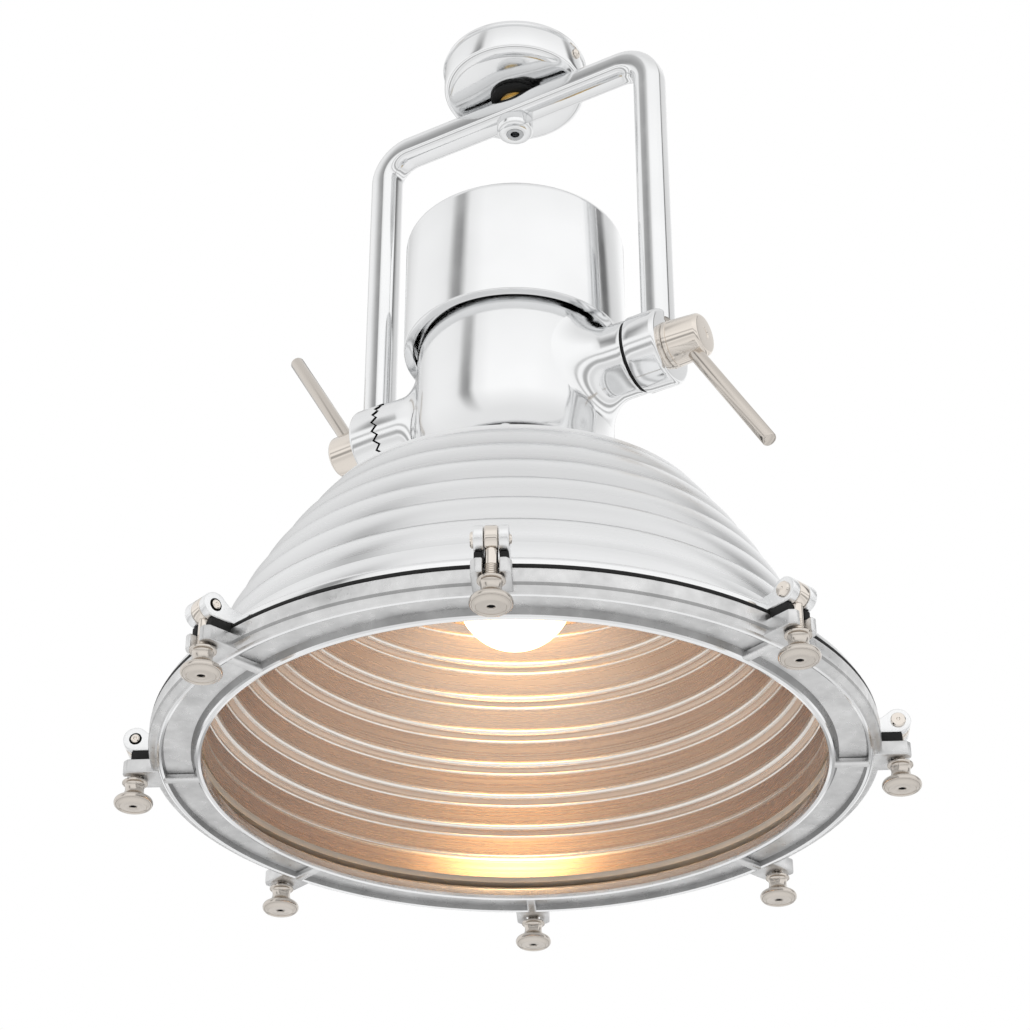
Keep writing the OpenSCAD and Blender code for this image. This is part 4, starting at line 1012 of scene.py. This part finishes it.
class LAMP_OT_clamps(bpy.types.Operator):
    """Clamp nuts with their levers, and the friction washer"""

    bl_idname = "lamp.clamps"
    bl_label = "Clamp nuts and levers"

    def execute(self, context):
        for side, word in ((LEFT, "left"), (RIGHT, "right")):
            end, body, wall = CLAMP_R - 1.5, f"{word}_clamp", 5.0
            flank = [(0.8, 0), (0, 0.8), (0.1, 3.2), (0.6, 3.6), (0.2, 4.0)]
            outline = [(STUD_BORE_R, 0), *((CLAMP_R - r, z) for r, z in flank), (end, CLAMP_L - 2)]
            outline += [(end - 2, CLAMP_L), (5, CLAMP_L), (4.4, CLAMP_L - 0.6), (0, CLAMP_L - 0.6)]
            nut = turned([*outline, (0, CLAMP_L - wall), (STUD_BORE_R, CLAMP_L - wall)], 96)
            round_rings(nut, [(end, CLAMP_L - 2), (end - 2, CLAMP_L)], 0.8, 3)
            placed(nut, along_x(side, CLAMP_X))
            name = f"{word}_clamp_nut"
            finish_piece(name + "_dressed", nut, "warm_nickel", body, [name])
            tip = LEVER_R - 0.4
            rod = [(0, LEVER_SEAT), (LEVER_R, LEVER_SEAT), (LEVER_R, LEVER_L - 1.3), (tip, LEVER_L - 0.4)]
            rod = turned([*rod, (LEVER_R - 1.3, LEVER_L), (0, LEVER_L)], 64)
            # The whole lever gets the darker painted-shade copy of warm nickel
            for face in rod.faces:
                face.material_index = 1
            lean = 180 - LEVER_LEAN if side == RIGHT else -LEVER_LEAN
            lever = placed(rod, on_head() @ shift(side * LEVER_X) @ rotation("Y", lean))
            name = f"{word}_clamp_lever"
            finish_piece(name + "_dressed", lever, "warm_nickel", body, [name], 32, ["warm_nickel_painted_shade"])
        washer = soften(flat_ring(STUD_BORE_R, WASHER_R, 0, PLAIN_GAP - PLAY, 96), 0.5)
        placed(washer, along_x(RIGHT, JOINT_X - PLAIN_GAP))
        finish_piece("friction_washer_dressed", washer, "black_rubber", "head", ["friction_washer"])
        return {"FINISHED"}


class LAMP_OT_light(bpy.types.Operator):
    """Lampholder and the lit bulb"""

    bl_idname = "lamp.light"
    bl_label = "Lampholder and bulb"

    def execute(self, context):
        top, low, wire_r, bore, inner_top = HOLDER_TOP, HOLDER_LOW, 4.1, 14.3, HOLDER_TOP - 14
        groove = [(0, 18), (1, 19), (1, 21), (0, 22)]
        outline = [(wire_r, top), (HOLDER_R, top), *((HOLDER_R - r, top - z) for r, z in groove)]
        outline += [(HOLDER_R, low + 3), (HOLDER_R - 3, low)]
        outline += [(bore, low), (bore, inner_top), (wire_r, inner_top)]
        holder = turned(outline, 96)
        round_rings(holder, [(HOLDER_R, top)], 1, 3)
        placed(holder, on_head())
        finish_piece("lampholder_dressed", holder, "white_moulding", "head", ["lampholder"])

        arc = [math.radians(-90 + i * 125 / 28) for i in range(29)]
        outer = [(0.0, BULB_LOW)]
        outer += [(BULB_R * math.cos(a), BULB_Z + BULB_R * math.sin(a)) for a in arc[1:]]
        outer += [(26.5, -127), (20.5, -114), (16.6, -106), (15, -100), (15, BULB_TOP)]
        inner = [(max(r - BULB_WALL, 0.0), z + (BULB_WALL if z < BULB_Z else 0.0)) for r, z in outer]
        bulb = turned([*outer, *reversed(inner)], 96)
        finish_piece("bulb_glass_dressed", placed(bulb, on_head()), "bulb_glass", "head", ["bulb_glass"], 60)
        return {"FINISHED"}


class LAMP_OT_inner_parts(bpy.types.Operator):
    """Finishes of the solids that are shown as they are"""

    bl_idname = "lamp.inner_parts"
    bl_label = "Inner parts"

    def execute(self, context):
        slots = {row["node"]: row["material_slot"] for row in frame["record"]["subparts"]}
        for name, solid in frame["nodes"].items():
            if not solid.hide_render:
                solid.data.materials.clear()
                solid.data.materials.append(finishes()[slots[name]])
        return {"FINISHED"}


# Brightness of the room that the metal mirrors: strips round it by share of a turn, layers by height
ROOM_STRIPS = [
    *((0.0, 0.88), (0.05, 0.89), (0.10, 0.88), (0.135, 0.84), (0.158, 0.36), (0.178, 0.28)),
    *((0.20, 0.86), (0.25, 0.99), (0.40, 1.0), (0.50, 0.97), (0.59, 0.97), (0.612, 0.15)),
    *((0.632, 0.15), (0.652, 0.66), (0.70, 0.76), (0.75, 0.95), (0.80, 0.95), (0.826, 0.3)),
    *((0.846, 0.3), (0.90, 0.6), (0.955, 0.78), (1.0, 0.88)),
]
ROOM_LAYERS = [
    *((0.0, 0.9), (0.17, 0.85), (0.22, 0.74), (0.27, 0.74), (0.31, 0.95), (0.35, 0.42), (0.40, 0.42)),
    *((0.44, 0.95), (0.50, 0.98), (0.53, 0.55), (0.55, 0.55), (0.58, 0.95), (1.0, 1.0)),
]


class LAMP_OT_stage(bpy.types.Operator):
    """Floor, soft light and camera"""

    bl_idname = "lamp.stage"
    bl_label = "Stage"

    def execute(self, context):
        stage = context.scene.lamp_stage
        ground = bmesh.new()
        bmesh.ops.create_grid(ground, x_segments=8, y_segments=8, size=14.0)
        bmesh.ops.translate(ground, vec=(0, 0, -stage.floor_drop), verts=ground.verts)
        mesh = bpy.data.meshes.new("floor")
        ground.to_mesh(mesh)
        ground.free()
        mesh.materials.append(plain_finish("floor_pale", (0.86, 0.86, 0.85), 0.0, 0.55, 0.7, 30.0, 0.02))
        floor = bpy.data.objects.new("floor", mesh)
        context.scene.collection.objects.link(floor)
        floor.visible_glossy = False
        self.studio(context)
        self.lights(context)
        self.camera(context, stage)
        context.scene.view_settings.view_transform = "Standard"
        return {"FINISHED"}

    @staticmethod
    def ramp(tree, source, stops):
        """Grey ramp with a stop at each position"""
        made = add_node(tree, "ShaderNodeValToRGB")
        while len(made.color_ramp.elements) < len(stops):
            made.color_ramp.elements.new(0.5)
        for element, (position, value) in zip(made.color_ramp.elements, stops):
            element.position = position
            element.color = (value, value, value, 1.0)
        tree.links.new(source, made.inputs["Fac"])
        return made

    @staticmethod
    def share(tree, source, low, high):
        """Share of the way that a value has gone from low to high"""
        made = add_node(tree, "ShaderNodeMapRange", From_Min=low, From_Max=high)
        tree.links.new(source, made.inputs["Value"])
        return made.outputs["Result"]

    def room(self, tree):
        """Colour of the room by direction: dark layers low down, dark strips above them and a grey roof"""
        place = add_node(tree, "ShaderNodeTexCoord").outputs["Generated"]
        turn = add_node(tree, "ShaderNodeTexGradient", {"gradient_type": "RADIAL"})
        parts = add_node(tree, "ShaderNodeSeparateXYZ")
        for node in (turn, parts):
            tree.links.new(place, node.inputs["Vector"])
        height = parts.outputs["Z"]
        strips = self.ramp(tree, turn.outputs["Color"], ROOM_STRIPS)
        layers = self.ramp(tree, self.share(tree, height, -1.0, 1.0), ROOM_LAYERS)
        banded = add_node(tree, "ShaderNodeMix", {"data_type": "RGBA"})
        tree.links.new(self.share(tree, height, 0.28, 0.4), banded.inputs["Factor"])
        for source, socket in zip((layers, strips), colour_sockets(banded.inputs)):
            tree.links.new(source.outputs["Color"], socket)
        roofed = add_node(tree, "ShaderNodeMix", {"data_type": "RGBA"})
        tree.links.new(self.share(tree, height, 0.62, 0.92), roofed.inputs["Factor"])
        sides, roof = colour_sockets(roofed.inputs)
        tree.links.new(colour_sockets(banded.outputs)[0], sides)
        roof.default_value = (0.78, 0.78, 0.78, 1.0)
        return colour_sockets(roofed.outputs)[0]

    def studio(self, context):
        """Studio that the metal mirrors, while the camera sees plain white"""
        world = bpy.data.worlds.new("studio")
        context.scene.world = world
        world.use_nodes = True
        tree = world.node_tree
        mirrored = tree.nodes["Background"]
        mirrored.inputs["Strength"].default_value = 1.12
        tree.links.new(self.room(tree), mirrored.inputs["Color"])
        plain = add_node(tree, "ShaderNodeBackground", Color=(1.0, 1.0, 1.0, 1.0), Strength=1.0)
        path = add_node(tree, "ShaderNodeLightPath")
        mix = add_node(tree, "ShaderNodeMixShader")
        tree.links.new(path.outputs["Is Camera Ray"], mix.inputs["Fac"])
        tree.links.new(mirrored.outputs["Background"], mix.inputs[1])
        tree.links.new(plain.outputs["Background"], mix.inputs[2])
        tree.links.new(mix.outputs["Shader"], tree.nodes["World Output"].inputs["Surface"])

    @staticmethod
    def lights(context):
        """Soft boxes at the left, at the right and below"""
        boxes = [
            ("key", (-1.6, -2.2, 0.9), 1.8, 34.0),
            ("fill", (2.6, -1.2, 0.2), 1.6, 14.0),
            ("low", (-0.9, -1.7, -2.5), 2.2, 20.0),
        ]
        for name, place, size, power in boxes:
            lamp = bpy.data.lights.new(name, "AREA")
            lamp.shape = "DISK"
            lamp.size = size
            lamp.energy = power
            box = bpy.data.objects.new(name, lamp)
            context.scene.collection.objects.link(box)
            box.location = place
            box.visible_glossy = False
            aim = Vector((0, 0, AXIS_Z)) - Vector(place)
            box.rotation_euler = aim.to_track_quat("-Z", "Y").to_euler()

    @staticmethod
    def camera(context, stage):
        """Camera at the photo's viewing angle, with the whole lamp in its frame"""
        turn, rise = stage.azimuth, stage.elevation
        back = Vector((math.sin(turn) * math.cos(rise), -math.cos(turn) * math.cos(rise), math.sin(rise)))
        aim = (-back).to_track_quat("-Z", "Y")
        down = aim @ Vector((0, -1, 0))
        data = bpy.data.cameras.new("camera")
        data.lens = stage.lens
        data.sensor_width = 36.0
        data.clip_end = 60.0
        camera = bpy.data.objects.new("camera", data)
        context.scene.collection.objects.link(camera)
        camera.rotation_mode = "QUATERNION"
        camera.rotation_quaternion = aim
        camera.location = Vector((0, 0, AXIS_Z)) + back * stage.distance + down * stage.lower
        context.scene.camera = camera


OPERATORS = (
    LAMP_OT_ceiling_fitting,
    LAMP_OT_yoke,
    LAMP_OT_neck,
    LAMP_OT_cap,
    LAMP_OT_shade,
    LAMP_OT_rim,
    LAMP_OT_bezel,
    LAMP_OT_swing_bolts,
    LAMP_OT_clamps,
    LAMP_OT_light,
    LAMP_OT_inner_parts,
    LAMP_OT_stage,
)


class LAMP_PT_panel(bpy.types.Panel):
    """Lists the lamp's sizes, finishes and building steps"""

    bl_idname = "LAMP_PT_panel"
    bl_label = "Pendant lamp"
    bl_space_type = "VIEW_3D"
    bl_region_type = "UI"
    bl_category = "Lamp"

    def draw(self, context):
        scene = context.scene
        for group in (scene.lamp_sizes, scene.lamp_finishes, scene.lamp_stage):
            box = self.layout.box()
            for key in group.__annotations__:
                box.prop(group, key)
        for operator in OPERATORS:
            self.layout.operator(operator.bl_idname)


CLASSES = (LampSizes, LampFinishes, LampStage, *OPERATORS, LAMP_PT_panel)


def register():
    for cls in CLASSES:
        bpy.utils.register_class(cls)
    bpy.types.Scene.lamp_sizes = PointerProperty(type=LampSizes)
    bpy.types.Scene.lamp_finishes = PointerProperty(type=LampFinishes)
    bpy.types.Scene.lamp_stage = PointerProperty(type=LampStage)


def unregister():
    del bpy.types.Scene.lamp_stage
    del bpy.types.Scene.lamp_finishes
    del bpy.types.Scene.lamp_sizes
    for cls in reversed(CLASSES):
        bpy.utils.unregister_class(cls)


def main():
    register()
    for operator in OPERATORS:
        group, name = operator.bl_idname.split(".")
        getattr(getattr(bpy.ops, group), name)()


if __name__ == "__main__":
    main()
